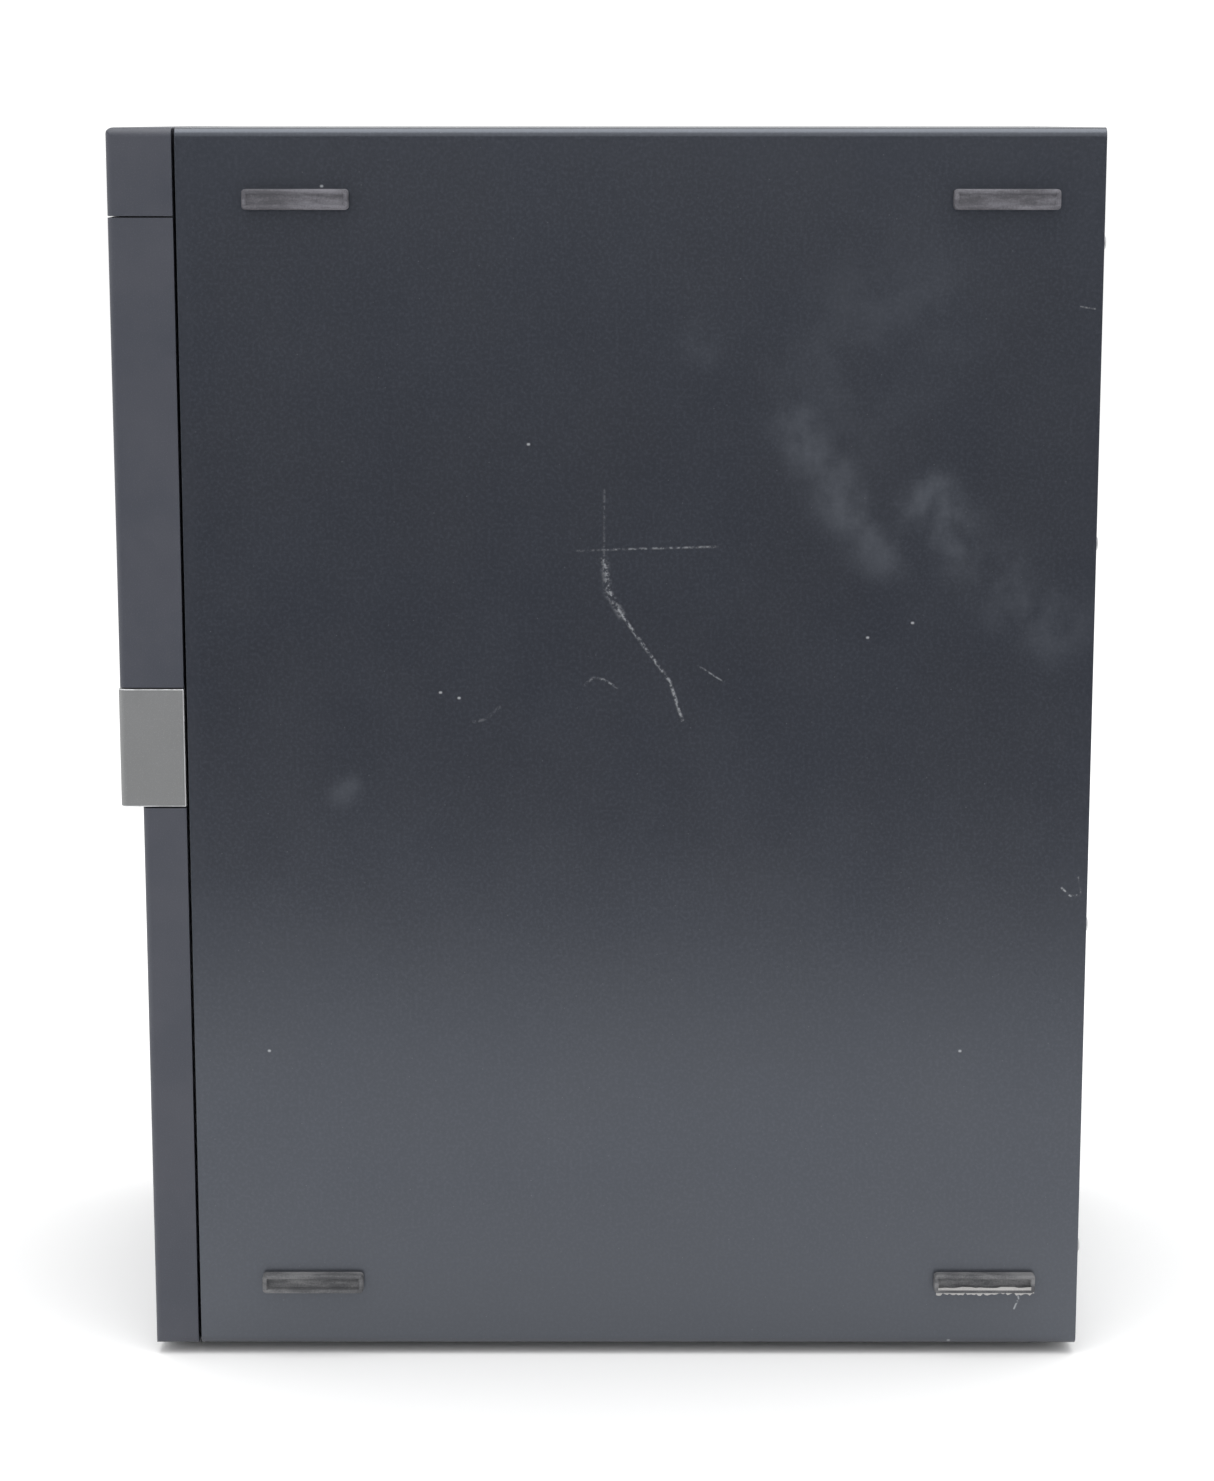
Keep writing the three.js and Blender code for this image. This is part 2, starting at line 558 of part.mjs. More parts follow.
function bezelCap() {
  const shell = bezelShell(UPPER_FRONT, CAP_Z);
  const roof = block(grow([LEFT, RIGHT], -1), [UPPER_FRONT + 1, BEZEL_BACK], [TOP - BEZEL_WALL, TOP]);
  const side = new THREE.Shape();
  side.moveTo(BEZEL_BACK + 1, CAP_Z[0] - 1);
  side.lineTo(BEZEL_BACK + 1, TOP);
  side.absarc(UPPER_FRONT + BEZEL_CORNER, TOP - BEZEL_CORNER, BEZEL_CORNER, Math.PI / 2, Math.PI);
  side.lineTo(UPPER_FRONT, CAP_Z[0] - 1);
  return common(join(shell, roof), bodyOutline(), extrude(side, "x", grow([LEFT, RIGHT], 1)));
}

function accentBand() {
  const shell = bezelShell(FRONT, ACCENT_Z);
  const under = block(
    grow([LEFT, RIGHT], -1),
    [FRONT + 1, LOWER_FRONT - GAP],
    [ACCENT_Z[0], ACCENT_Z[0] + BEZEL_WALL],
  );
  return join(shell, under);
}

function bayCover() {
  const y = [UPPER_FRONT, UPPER_FRONT + BEZEL_WALL];
  const x = grow(BAY_X, -0.2);
  const z = grow(BAY_Z, -0.2);
  const clip = (range) => block(range, [UPPER_FRONT + 1, UPPER_FRONT + 11], around((z[0] + z[1]) / 2, 16));
  return join(block(x, y, z), clip([x[0] + 2, x[0] + 3.6]), clip([x[1] - 3.6, x[1] - 2]));
}

// Two front sockets on one carrier, with the tongue inside each mouth.
function portPair(left, right) {
  const y = [UPPER_FRONT + 0.5, UPPER_FRONT + 0.5 + PORT_DEPTH];
  const z = around(PORT_HEIGHT, PORT_MOUTH[1]);
  const carrier = block([left, right], [UPPER_FRONT + BEZEL_WALL + 0.7, y[1]], z);
  const shells = [left, right].map((x) => block(around(x, PORT_MOUTH[0]), y, z));
  const mouths = [left, right].map((x) =>
    block(
      around(x, PORT_MOUTH[0] - 2 * PORT_WALL),
      [y[0] - 1, y[1] - 2],
      around(PORT_HEIGHT, PORT_MOUTH[1] - 2 * PORT_WALL),
    ),
  );
  const tongues = [left, right].map((x) =>
    block(around(x, 11), [y[0] + 1, y[1] - 1], [PORT_HEIGHT + 0.2, PORT_HEIGHT + 2]),
  );
  return join(cut(join(carrier, ...shells), ...mouths), ...tongues);
}

function typeCPort() {
  const y = [UPPER_FRONT + 0.5, UPPER_FRONT + 0.5 + PORT_DEPTH];
  const outer = rounded(around(TYPE_C_X, 9.8), around(PORT_HEIGHT, 4), 1.9);
  const mouth = rounded(around(TYPE_C_X, 8.4), around(PORT_HEIGHT, 2.6), 1.2);
  return join(
    cut(extrude(outer, "y", y), extrude(mouth, "y", [y[0] - 1, y[1] - 3])),
    block(around(TYPE_C_X, 6.6), [y[0] + 1, y[1] - 2], around(PORT_HEIGHT, 0.7)),
  );
}

function headsetJack() {
  const y = [UPPER_FRONT + 0.4, UPPER_FRONT + 0.5 + PORT_DEPTH];
  return cut(
    rod("y", y, [JACK_X, PORT_HEIGHT], 3.7, 20),
    rod("y", [y[0] - 1, y[1] - 2], [JACK_X, PORT_HEIGHT], 1.8, 12),
  );
}

// The small board behind the front ports, with the power switch soldered on.
const FRONT_BOARD_Y = [UPPER_FRONT + 0.5 + PORT_DEPTH + GAP, UPPER_FRONT + 0.5 + PORT_DEPTH + GAP + 1.6];
const SWITCH_FRONT = FRONT_BOARD_Y[0] - 1.6;

function frontBoard() {
  return join(
    block([JACK_X - 8, BUTTON_X + 8], FRONT_BOARD_Y, around(PORT_HEIGHT, 26)),
    block(around(BUTTON_X, 6), [SWITCH_FRONT, FRONT_BOARD_Y[0] + 0.5], around(PORT_HEIGHT, 6)),
    block(around(-20, 18), [FRONT_BOARD_Y[1] - 0.5, FRONT_BOARD_Y[1] + 0.5], around(PORT_HEIGHT + 6, 5)),
  );
}

function powerButton() {
  const face = [UPPER_FRONT, UPPER_FRONT + BEZEL_WALL + 1.2];
  const flange = [UPPER_FRONT + BEZEL_WALL + GAP + 0.1, UPPER_FRONT + BEZEL_WALL + 1.6];
  return join(
    extrude(rounded(around(BUTTON_X, BUTTON_SIZE), around(PORT_HEIGHT, BUTTON_SIZE), 3), "y", face),
    block(around(BUTTON_X, BUTTON_SIZE + 2.6), flange, around(PORT_HEIGHT, BUTTON_SIZE + 2.6)),
    rod("y", [UPPER_FRONT + 2, SWITCH_FRONT - BUTTON_TRAVEL - GAP], [BUTTON_X, PORT_HEIGHT], 2.5, 12),
  );
}

function driveLight() {
  return block(around(LIGHT_X, 2), [UPPER_FRONT + 0.1, FRONT_BOARD_Y[0] - GAP], around(PORT_HEIGHT, 7));
}

// ---------------------------------------------------------------- drives

// Steel channel behind the bezel: the empty bay below, the optical drive on a shelf above.
function driveBayFrame() {
  const y = [FRONT_WALL[1] + GAP, FRONT_WALL[1] + GAP + BAY_DEPTH];
  const outer = grow(BAY_X, SHEET);
  const z = [BAY_Z[0] - 1 - SHEET, DRIVE_Z[1] + 2];
  return join(
    block([outer[0], BAY_X[0]], y, z),
    block([BAY_X[1], outer[1]], y, z),
    block(outer, y, [z[0], z[0] + SHEET]),
    block(outer, y, [BAY_Z[1] + 2, BAY_Z[1] + 2 + SHEET]),
  );
}

const TRAY_PLATE = { width: DRIVE_WIDTH - 2.6, height: 7.5, depth: 120 };
const DRIVE_SHELL_WALL = 0.8;
const COVER_FACE = [UPPER_FRONT, DRIVE_Y[0] - GAP];

function opticalDriveShell() {
  return cut(
    block(DRIVE_X, DRIVE_Y, DRIVE_Z),
    block(
      grow(DRIVE_X, -DRIVE_SHELL_WALL),
      [DRIVE_Y[0] - 1, DRIVE_Y[1] - DRIVE_SHELL_WALL],
      grow(DRIVE_Z, -DRIVE_SHELL_WALL),
    ),
  );
}

// The sliding tray, with its disc recess and the spindle in the middle.
function discTray() {
  const y = [DRIVE_Y[0] + GAP, DRIVE_Y[0] + GAP + TRAY_PLATE.depth];
  const z = [DRIVE_Z[0] + DRIVE_SHELL_WALL + 0.4, DRIVE_Z[0] + DRIVE_SHELL_WALL + 0.4 + TRAY_PLATE.height];
  const centre = [MIDDLE, y[0] + TRAY_PLATE.depth / 2 + 1];
  const discRadius = 58.5;
  return join(
    cut(
      block(around(MIDDLE, TRAY_PLATE.width), y, z),
      rod("z", [z[1] - 2.4, z[1] + 1], centre, discRadius, 40),
    ),
    rod("z", [z[1] - 3, z[1] - 0.2], centre, 13, 20),
    rod("z", [z[1] - 1, z[1] + 1.4], centre, 7.4, 16),
  );
}

const EJECT_X = DRIVE_X[1] - 16;
const EJECT_Z = (DRIVE_Z[0] + DRIVE_Z[1]) / 2;

function trayBezel() {
  return cut(
    block(grow(DRIVE_X, 0.3), COVER_FACE, grow(DRIVE_Z, 0.05)),
    block(around(EJECT_X, 9.6), grow(COVER_FACE, 1), around(EJECT_Z, 3.6)),
  );
}

function ejectButton() {
  return block(around(EJECT_X, 9), [COVER_FACE[0], COVER_FACE[1] - 0.8], around(EJECT_Z, 3));
}

const DISK = { width: 101.6, thickness: 26.1, length: 147 };
const DISK_X = [LEFT + 14, LEFT + 14 + DISK.width];
const DISK_Y = [FRONT_WALL[1] + 7, FRONT_WALL[1] + 7 + DISK.thickness];
const DISK_Z = [WALL_Z[0] + 4.3, WALL_Z[0] + 4.3 + DISK.length];

// The hard disk stands on end behind the intake: a milled body with a raised lid and its board.
function hardDrive() {
  const lidY = [DISK_Y[0], DISK_Y[0] + 3];
  return join(
    block(DISK_X, [lidY[1] - 1, DISK_Y[1] - 2], DISK_Z),
    extrude(rounded(grow(DISK_X, -3), [DISK_Z[0] + 12, DISK_Z[1] - 3], 8), "y", lidY),
    block(grow(DISK_X, -6), [DISK_Y[1] - 3, DISK_Y[1]], [DISK_Z[0] + 60, DISK_Z[1] - 2]),
  );
}

function hardDriveCage() {
  const y = [DISK_Y[0] - 3, DISK_Y[1] + GAP + 2];
  const z = [WALL_Z[0] + GAP, DISK_Z[1] - 6];
  const left = [DISK_X[0] - GAP - 1 - SHEET, DISK_X[0] - GAP - 1];
  const right = [DISK_X[1] + GAP + 1, DISK_X[1] + GAP + 1 + SHEET];
  const span = [left[0], right[1]];
  return join(
    block(left, y, z),
    block(right, y, z),
    block(span, [y[1] - SHEET, y[1]], [z[0] + 30, z[0] + 100]),
    block(span, [y[0], y[1]], [z[0], z[0] + SHEET]),
  );
}

// ---------------------------------------------------------------- board and what it carries

const CPU = { y: BOARD_Y[1] - 89, z: BOARD_Z[1] - 68 };

// The main board, with the parts that are soldered to it.
function motherboard() {
  const stand = (y, z, height) => block([BOARD_FACE - height, BOARD_FACE + 0.5], y, z);
  const slots = slotHeights();
  const slotRear = COVER_Y[0] - 46;
  const parts = [
    stand(around(CPU.y, 44), around(CPU.z, 44), 3),
    stand([slotRear - 89, slotRear], around(slots[0], 7.5), 11),
    stand([slotRear - 25, slotRear], around(slots[1], 7.5), 11),
    stand([slotRear - 89, slotRear], around(slots[2], 7.5), 11),
    stand([slotRear - 84, slotRear], around(slots[3], 7.5), 11),
    stand(around(BOARD_Y[0] + 6.5, 10), around(PORTS_Z[1] - 40, 52), 8),
    stand(around(BOARD_Y[0] + 8, 12), around(PORTS_Z[0] + 22, 18), 8),
    stand(around(CPU.y - 25, 22), around(PORTS_Z[0] + 6, 22), 6),
    stand(around(CPU.y + 27, 20), around(PORTS_Z[0] - 4, 3.5), 4),
    stand(around(BOARD_Y[0] + 28, 14), around(FIRST_SLOT - 20, 14), 2),
    rod("x", [BOARD_FACE - 5, BOARD_FACE + 0.5], [CPU.y - 71, FIRST_SLOT - 8], 10, 16),
    ...memoryRows.map((y) => stand(around(y, 6.5), MEMORY_Z, 8)),
    ...[0, 1, 2, 3].map((i) => stand(around(CPU.y + 59, 9), around(CPU.z - 24 + i * 16, 10), 7)),
    ...[0, 1, 2].map((i) =>
      rod("x", [BOARD_FACE - 9, BOARD_FACE + 0.5], [CPU.y + 48.5, CPU.z - 16 + i * 16], 3.5, 10),
    ),
  ];
  return cut(
    join(block([BOARD_FACE, BOARD_BACK], BOARD_Y, BOARD_Z), ...parts),
    ...memoryRows
      .slice(0, 2)
      .map((y) => block([BOARD_FACE - 9, BOARD_FACE - 3], around(y, 1.9), grow(MEMORY_Z, -3.5))),
  );
}

const memoryRows = [87, 77, 67, 57].map((d) => CPU.y - d);
const MEMORY_Z = around(CPU.z - 6, 142);
const MEMORY_TIP = BOARD_FACE - 33;

function processor() {
  const lid = [BOARD_FACE - 5.8, BOARD_FACE - 3 - GAP];
  return join(
    block([BOARD_FACE - 4.6, BOARD_FACE - 3 - GAP], around(CPU.y, 37.5), around(CPU.z, 37.5)),
    block(lid, around(CPU.y, 30), around(CPU.z, 30)),
  );
}

// A finned block: the fins run front to rear on a flat base.
const SINK = { size: 86, base: 5, height: 26, fins: 17, fin: 1.4 };
const SINK_X = [BOARD_FACE - 6.1 - SINK.height, BOARD_FACE - 6.1];

function heatsink() {
  const z = around(CPU.z, SINK.size);
  const pitch = (SINK.size - SINK.fin) / (SINK.fins - 1);
  const valley = SINK_X[1] - SINK.base;
  const shape = new THREE.Shape();
  shape.moveTo(SINK_X[1], z[0]);
  shape.lineTo(SINK_X[1], z[1]);
  for (let i = SINK.fins - 1; i >= 0; i -= 1) {
    const low = z[0] + i * pitch;
    if (i < SINK.fins - 1) shape.lineTo(valley, low + SINK.fin);
    shape.lineTo(SINK_X[0], low + SINK.fin);
    shape.lineTo(SINK_X[0], low);
    if (i > 0) shape.lineTo(valley, low);
  }
  return extrude(shape, "y", around(CPU.y, SINK.size));
}

function memoryModule(y) {
  const x = [MEMORY_TIP, BOARD_FACE - 3 - GAP];
  const length = grow(MEMORY_Z, -4.3);
  const chips = [0, 1, 2, 3, 4.7, 5.7, 6.7, 7.7].map((step) =>
    block(around(BOARD_FACE - 21, 11), [y + 0.5, y + 1.7], around(length[0] + 12 + step * 14, 9)),
  );
  return join(block(x, around(y, 1.3), length), ...chips);
}

// A block of rear sockets, each a mouth with something standing in it.
function rearSocket(z, height, mouths) {
  const y = [BOARD_Y[1] - 17, SKIN_REAR - 0.4];
  const body = block([BOARD_FACE - GAP - height, BOARD_FACE - GAP], y, z);
  const holes = mouths.map((m) => block(m.x, [y[1] - m.depth, y[1] + 1], m.z));
  const tongues = mouths
    .filter((m) => m.tongue)
    .map((m) => block(m.tongue.x, [y[1] - m.depth - 0.5, y[1] - 1], m.tongue.z));
  const hollow = cut(body, ...holes);
  return tongues.length ? join(hollow, ...tongues) : hollow;
}

// A flat socket lying along Z, with its tongue, at a given height off the board.
function usbMouth(z, off) {
  return {
    x: [BOARD_FACE - off - 5.2, BOARD_FACE - off],
    z: around(z, 12.6),
    depth: 11,
    tongue: { x: [BOARD_FACE - off - 2.4, BOARD_FACE - off - 0.6], z: around(z, 10.6) },
  };
}

const REAR_SOCKETS = {
  display: { z: [PORTS_Z[1] - 46, PORTS_Z[1] - 4], height: 8.4 },
  usb: { z: [PORTS_Z[1] - 84, PORTS_Z[1] - 52], height: 16.4 },
  lan: { z: [PORTS_Z[1] - 108, PORTS_Z[1] - 90], height: 30.4 },
  audio: { z: [PORTS_Z[1] - 146, PORTS_Z[1] - 113], height: 12.4 },
};

function displayPorts() {
  const { z, height } = REAR_SOCKETS.display;
  const mouth = (middle) => ({
    x: [BOARD_FACE - 6.8, BOARD_FACE - 2.2],
    z: around(middle, 16),
    depth: 9,
    tongue: { x: [BOARD_FACE - 5, BOARD_FACE - 4], z: around(middle, 12) },
  });
  return rearSocket(z, height, [mouth(z[0] + 10.5), mouth(z[1] - 10.5)]);
}

function usbStack() {
  const { z, height } = REAR_SOCKETS.usb;
  const columns = [z[0] + 8, z[1] - 8];
  return rearSocket(z, height, columns.flatMap((c) => [usbMouth(c, 2), usbMouth(c, 9.8)]));
}

function lanStack() {
  const { z, height } = REAR_SOCKETS.lan;
  const middle = (z[0] + z[1]) / 2;
  const network = {
    x: [BOARD_FACE - 29, BOARD_FACE - 18.6],
    z: around(middle, 12),
    depth: 14,
  };
  return rearSocket(z, height, [usbMouth(middle, 2), usbMouth(middle, 9.8), network]);
}

function audioJacks() {
  const { z, height } = REAR_SOCKETS.audio;
  const holes = [6, 16.5, 27].map((d) =>
    rod("y", [SKIN_REAR - 12, SKIN_REAR + 2], [BOARD_FACE - 6.6, z[0] + d], 1.8, 12),
  );
  return cut(rearSocket(z, height, []), ...holes);
}

function portShield() {
  const y = REAR_WALL;
  const windows = Object.values(REAR_SOCKETS).map(({ z, height }) =>
    block([BOARD_FACE - GAP - height - 0.4, BOARD_FACE + 0.1], grow(y, 1), grow(z, 0.4)),
  );
  return cut(block(grow(PORTS_X, -GAP), y, grow(PORTS_Z, -GAP)), ...windows);
}

// ---------------------------------------------------------------- power supply

function supplyCase() {
  const x = SUPPLY_X;
  const y = SUPPLY_Y;
  const z = SUPPLY_Z;
  const [fanX, fanZ] = SUPPLY_FAN_CENTRE;
  const rearFace = [y[1] - SHEET - 1, y[1] + 1];
  const frontFace = [y[0] - 1, y[0] + SHEET + 1];
  const grille = [];
  const radius = SUPPLY_FAN_SIZE / 2 - 4;
  const rows = Math.floor((radius - 3) / 8);
  for (let row = -rows; row <= rows; row += 1) {
    const width = 2 * Math.sqrt(radius ** 2 - (row * 8) ** 2);
    grille.push(block(around(fanX, width), rearFace, around(fanZ + row * 8, 5.6)));
  }
  const intake = Array.from({ length: 8 }, (_, i) =>
    block(around(x[0] + 22 + i * 11, 6), frontFace, around(fanZ, 52)),
  );
  return cut(
    block(x, y, z),
    block(grow(x, -SHEET), grow(y, -SHEET), grow(z, -SHEET)),
    block(around(INLET_CENTRE[0], INLET_SIZE[0] + 0.6), rearFace, around(INLET_CENTRE[1], INLET_SIZE[1] + 0.6)),
    rod("y", frontFace, [CABLE_EXIT.x, CABLE_EXIT.z], 7, 16),
    ...grille,
    ...intake,
  );
}

// The inlet for the mains lead: a deep mouth with three blades.
function mainsInlet() {
  const [x, z] = INLET_CENTRE;
  const rear = SUPPLY_Y[1];
  const mouth = block(around(x, 24), [rear - 16, rear + 2], around(z, 16));
  const blades = [
    [-7, -2],
    [0, 2],
    [7, -2],
  ].map(([dx, dz]) => block(around(x + dx, 2), [rear - 17, rear - 5], around(z + dz, 4)));
  return join(
    cut(block(around(x, INLET_SIZE[0]), [rear - INLET_DEPTH, rear], around(z, INLET_SIZE[1])), mouth),
    ...blades,
  );
}

function supplyBoard() {
  const floor = SUPPLY_Z[0] + SHEET + 4;
  const y = [SUPPLY_Y[0] + 6, SUPPLY_Y[1] - SUPPLY_FAN_DEPTH - 8];
  const x = [SUPPLY_X[0] + 6, SUPPLY_X[1] - 6];
  const on = (a, b, height) => block(a, b, [floor + 1, floor + 1.6 + height]);
  return join(
    block(x, y, [floor, floor + 1.6]),
    on([x[0] + 18, x[0] + 21], [y[0] + 4, y[1] - 4], 50),
    on([x[0] + 84, x[0] + 87], [y[0] + 4, y[1] - 4], 50),
    on([x[0] + 38, x[0] + 70], [y[0] + 14, y[0] + 46], 34),
    rod("z", [floor + 1, floor + 38], [x[1] - 20, y[1] - 18], 13, 16),
    rod("z", [floor + 1, floor + 22], [x[0] + 8, y[0] + 12], 6, 12),
    rod("z", [floor + 1, floor + 22], [x[0] + 8, y[0] + 30], 6, 12),
  );
}

// ---------------------------------------------------------------- fans

// A square fan frame round the local Z axis, motor side at z = 0, with its hub on four arms.
function fanFrame(size, depth) {
  const shape = rounded(around(0, size), around(0, size), 3);
  const bore = new THREE.Path();
  bore.absarc(0, 0, size / 2 - 2, 0, 2 * Math.PI);
  shape.holes.push(bore);
  const ring = extrude(shape, "z", [0, depth], 18);
  const arms = [0, 1].map((i) =>
    block(around(0, size - 2), around(0, 4), [0, 2.4]).rotateZ(Math.PI / 4 + (i * Math.PI) / 2),
  );
  return join(ring, rod("z", [0, 3], [0, 0], size * 0.2, 24), ...arms);
}

// The rotor that turns in it: a hub cup with seven pitched blades.
function fanRotor(size, depth) {
  const hub = size * 0.19;
  const tip = size / 2 - 3.4;
  const blades = Array.from({ length: 7 }, (_, i) =>
    block([hub - 2, tip], around(0, 1.6), around(0, size * 0.24))
      .rotateX(0.75)
      .translate(0, 0, 3.6 + (depth - 4.4) / 2)
      .rotateZ((i * 2 * Math.PI) / 7),
  );
  const space = rod("z", [3.6, depth - 1], [0, 0], tip, 36);
  return common(join(rod("z", [3.6, depth - 1], [0, 0], hub, 24), ...blades), space);
}

function addFan(name, size, depth, position, rotation, look) {
  const group = new THREE.Group();
  group.position.set(...position);
  group.rotation.set(...rotation);
  tower.add(group);
  add(name + "_frame", fanFrame(size, depth), look, [0, 0, 0], group);
  add(name + "_rotor", fanRotor(size, depth), look, [0, 0, 0], group);
}

// ---------------------------------------------------------------- cables

const CABLE_EXIT = { x: SUPPLY_X[1] - 20, z: SUPPLY_Z[0] + 20 };

// A bundle of wires along a smooth route.
function bundle(points, radius, steps) {
  const curve = new THREE.CatmullRomCurve3(points.map((p) => new THREE.Vector3(...p)));
  const section = new THREE.Shape();
  section.absarc(0, 0, radius, 0, 2 * Math.PI);
  return new THREE.ExtrudeGeometry(section, { steps, extrudePath: curve, curveSegments: 4 });
}

function mainPowerCable() {
  const plugZ = PORTS_Z[1] - 40;
  const plugY = BOARD_Y[0] + 6.5;
  const plugX = [BOARD_FACE - 20, BOARD_FACE - 8 - GAP];
  const { x, z } = CABLE_EXIT;
  const lane = MEMORY_TIP - 7.5;
  const route = [
    [x, SUPPLY_Y[0] - 0.5, z],
    [x, SUPPLY_Y[0] - 7, z - 3],
    [x - 2, SUPPLY_Y[0] - 10, z - 16],
    [x - 8, SUPPLY_Y[0] - 13, BAY_Z[0] - 10],
    [(x + lane) / 2, SUPPLY_Y[0] - 28, BAY_Z[0] - 14],
    [lane, memoryRows[3], BAY_Z[0] - 18],
    [lane, memoryRows[0] - 6, BAY_Z[0] - 24],
    [plugX[0] - 14, plugY + 10, plugZ + 8],
    [plugX[0] - 6, plugY, plugZ],
    [plugX[0] + 2, plugY, plugZ],
  ];
  return join(bundle(route, 4.5, 34), block(plugX, around(plugY, 10), around(plugZ, 52)));
}

function driveCable() {
  const plugY = BOARD_Y[0] + 8;
  const plugZ = PORTS_Z[0] + 22;
  const plugX = [BOARD_FACE - 20, BOARD_FACE - 8 - GAP];
  const diskX = DISK_X[0] + 40;
  const diskY = (DISK_Y[0] + DISK_Y[1]) / 2;
  const diskPlug = [DISK_Z[1] + GAP, DISK_Z[1] + GAP + 9];
  const route = [
    [plugX[0] + 2, plugY, plugZ],
    [plugX[0] - 6, plugY, plugZ],
    [plugX[0] - 9, plugY, plugZ + 14],
    [plugX[0] - 9, diskY, diskPlug[0] - 4],
    [plugX[0] - 16, diskY, diskPlug[1] + 6],
    [DISK_X[1] - 20, diskY, diskPlug[1] + 12],
    [diskX + 14, diskY, diskPlug[1] + 12],
    [diskX + 2, diskY, diskPlug[1] + 7],
    [diskX, diskY, diskPlug[1] - 2],
  ];
  return join(
    bundle(route, 2.8, 30),
    block(plugX, around(plugY, 8), around(plugZ, 16)),
    block(around(diskX, 34), around(diskY, 8), diskPlug),
  );
}

// ---------------------------------------------------------------- feet

function sideFoot() {
  const shape = rounded(around(0, SIDE_FOOT_LENGTH), around(0, SIDE_FOOT_WIDTH), 1);
  return extrude(shape, "x", [GAP, SIDE_FOOT_HEIGHT], 2);
}

function addFeet() {
  const sideY = { front: SKIN_FRONT + SIDE_FOOT_FRONT_INSET, rear: SKIN_REAR - SIDE_FOOT_REAR_INSET };
  const sideZ = { upper: TOP - SIDE_FOOT_END_INSET, lower: BOTTOM + SIDE_FOOT_END_INSET };
  for (const [end, y] of Object.entries(sideY)) {
    for (const [level, z] of Object.entries(sideZ)) {
      add(`side_foot_${level}_${end}`, sideFoot(), RUBBER, [RIGHT, y, z]);
    }
  }
  const bottomX = { left: LEFT + BOTTOM_FOOT_SIDE_INSET, right: RIGHT - BOTTOM_FOOT_SIDE_INSET };
  const bottomY = { front: SKIN_FRONT + BOTTOM_FOOT_END_INSET, rear: SKIN_REAR - BOTTOM_FOOT_END_INSET };
  for (const [end, y] of Object.entries(bottomY)) {
    for (const [side, x] of Object.entries(bottomX)) {
      const foot = rod("z", [0, FOOT_HEIGHT - GAP], [0, 0], BOTTOM_FOOT_RADIUS, 20);
      add(`foot_${end}_${side}`, foot, RUBBER, [x, y, 0]);
    }
  }
}

// ---------------------------------------------------------------- assembly

add("outer_skin", outerSkin(), PAINT);
add("access_panel", accessPanel(), PAINT);
add("latch_cup", latchCup(), BLACK_PLASTIC);
add("panel_latch", panelLatch(), BLACK_PLASTIC);
add("front_wall", frontWall(), STEEL);
add("rear_wall", rearWall(), STEEL);
add("board_tray", boardTray(), STEEL);
add("padlock_loop", padlockLoop(), STEEL);
add("slot_retainer", slotRetainer(), STEEL);
slotHeights().forEach((z, i) => {
  add(`slot_cover_${i + 1}`, slotCover(), STEEL, [TAB_X, COVER_Y[0], z]);
});

add("front_bezel", frontBezel(), BLACK_PLASTIC);
add("bezel_cap", bezelCap(), BLACK_PLASTIC);
add("accent_band", accentBand(), SILVER_PLASTIC);
add("bay_cover", bayCover(), BLACK_PLASTIC);
add("power_button", powerButton(), BLACK_PLASTIC);
add("drive_light", driveLight(), SILVER_PLASTIC);
add("front_board", frontBoard(), BOARD_GREEN);
add("front_ports_left", portPair(portCentres[0], portCentres[1]), CONNECTOR);
add("front_ports_right", portPair(portCentres[2], portCentres[3]), CONNECTOR);
add("front_port_type_c", typeCPort(), CONNECTOR);
add("headset_jack", headsetJack(), CONNECTOR);

add("drive_bay_frame", driveBayFrame(), STEEL);
add("optical_drive_shell", opticalDriveShell(), STEEL);
add("disc_tray", discTray(), BLACK_PLASTIC);
add("tray_bezel", trayBezel(), BLACK_PLASTIC);
add("eject_button", ejectButton(), BLACK_PLASTIC);
add("hard_drive", hardDrive(), ALUMINIUM);
add("hard_drive_cage", hardDriveCage(), STEEL);

add("motherboard", motherboard(), BOARD_GREEN);
add("processor", processor(), ALUMINIUM);
add("heatsink", heatsink(), ALUMINIUM);
add("memory_module_1", memoryModule(memoryRows[0]), BOARD_GREEN);
add("memory_module_2", memoryModule(memoryRows[1]), BOARD_GREEN);
add("display_ports", displayPorts(), CONNECTOR);
add("usb_stack", usbStack(), CONNECTOR);
add("lan_stack", lanStack(), CONNECTOR);
add("audio_jacks", audioJacks(), CONNECTOR);
add("port_shield", portShield(), STEEL);

add("supply_case", supplyCase(), STEEL);
add("supply_board", supplyBoard(), BOARD_GREEN);
add("mains_inlet", mainsInlet(), CONNECTOR);

const facingFront = [Math.PI / 2, 0, 0]; // local Z along -Y
const facingPanel = [0, -Math.PI / 2, 0]; // local Z along -X
addFan(
  "rear_fan",
  FAN_SIZE,
  FAN_DEPTH,
  [FAN_CENTRE[0], REAR_WALL[0] - GAP, FAN_CENTRE[1]],
  facingFront,
  CONNECTOR,
);
addFan(
  "supply_fan",
  SUPPLY_FAN_SIZE,
  SUPPLY_FAN_DEPTH,
  [SUPPLY_FAN_CENTRE[0], SUPPLY_Y[1] - SHEET - GAP, SUPPLY_FAN_CENTRE[1]],
  facingFront,
  CONNECTOR,
);
addFan(
  "cooler_fan",
  FAN_SIZE,
  FAN_DEPTH,
  [SINK_X[0] - GAP, CPU.y, CPU.z],
  facingPanel,
  CONNECTOR,
);

add("main_power_cable", mainPowerCable(), CABLE);
add("drive_cable", driveCable(), CABLE);
addFeet();

export default tower;
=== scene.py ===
import math
import random

import bmesh
import bpy
from mathutils import Matrix, Vector


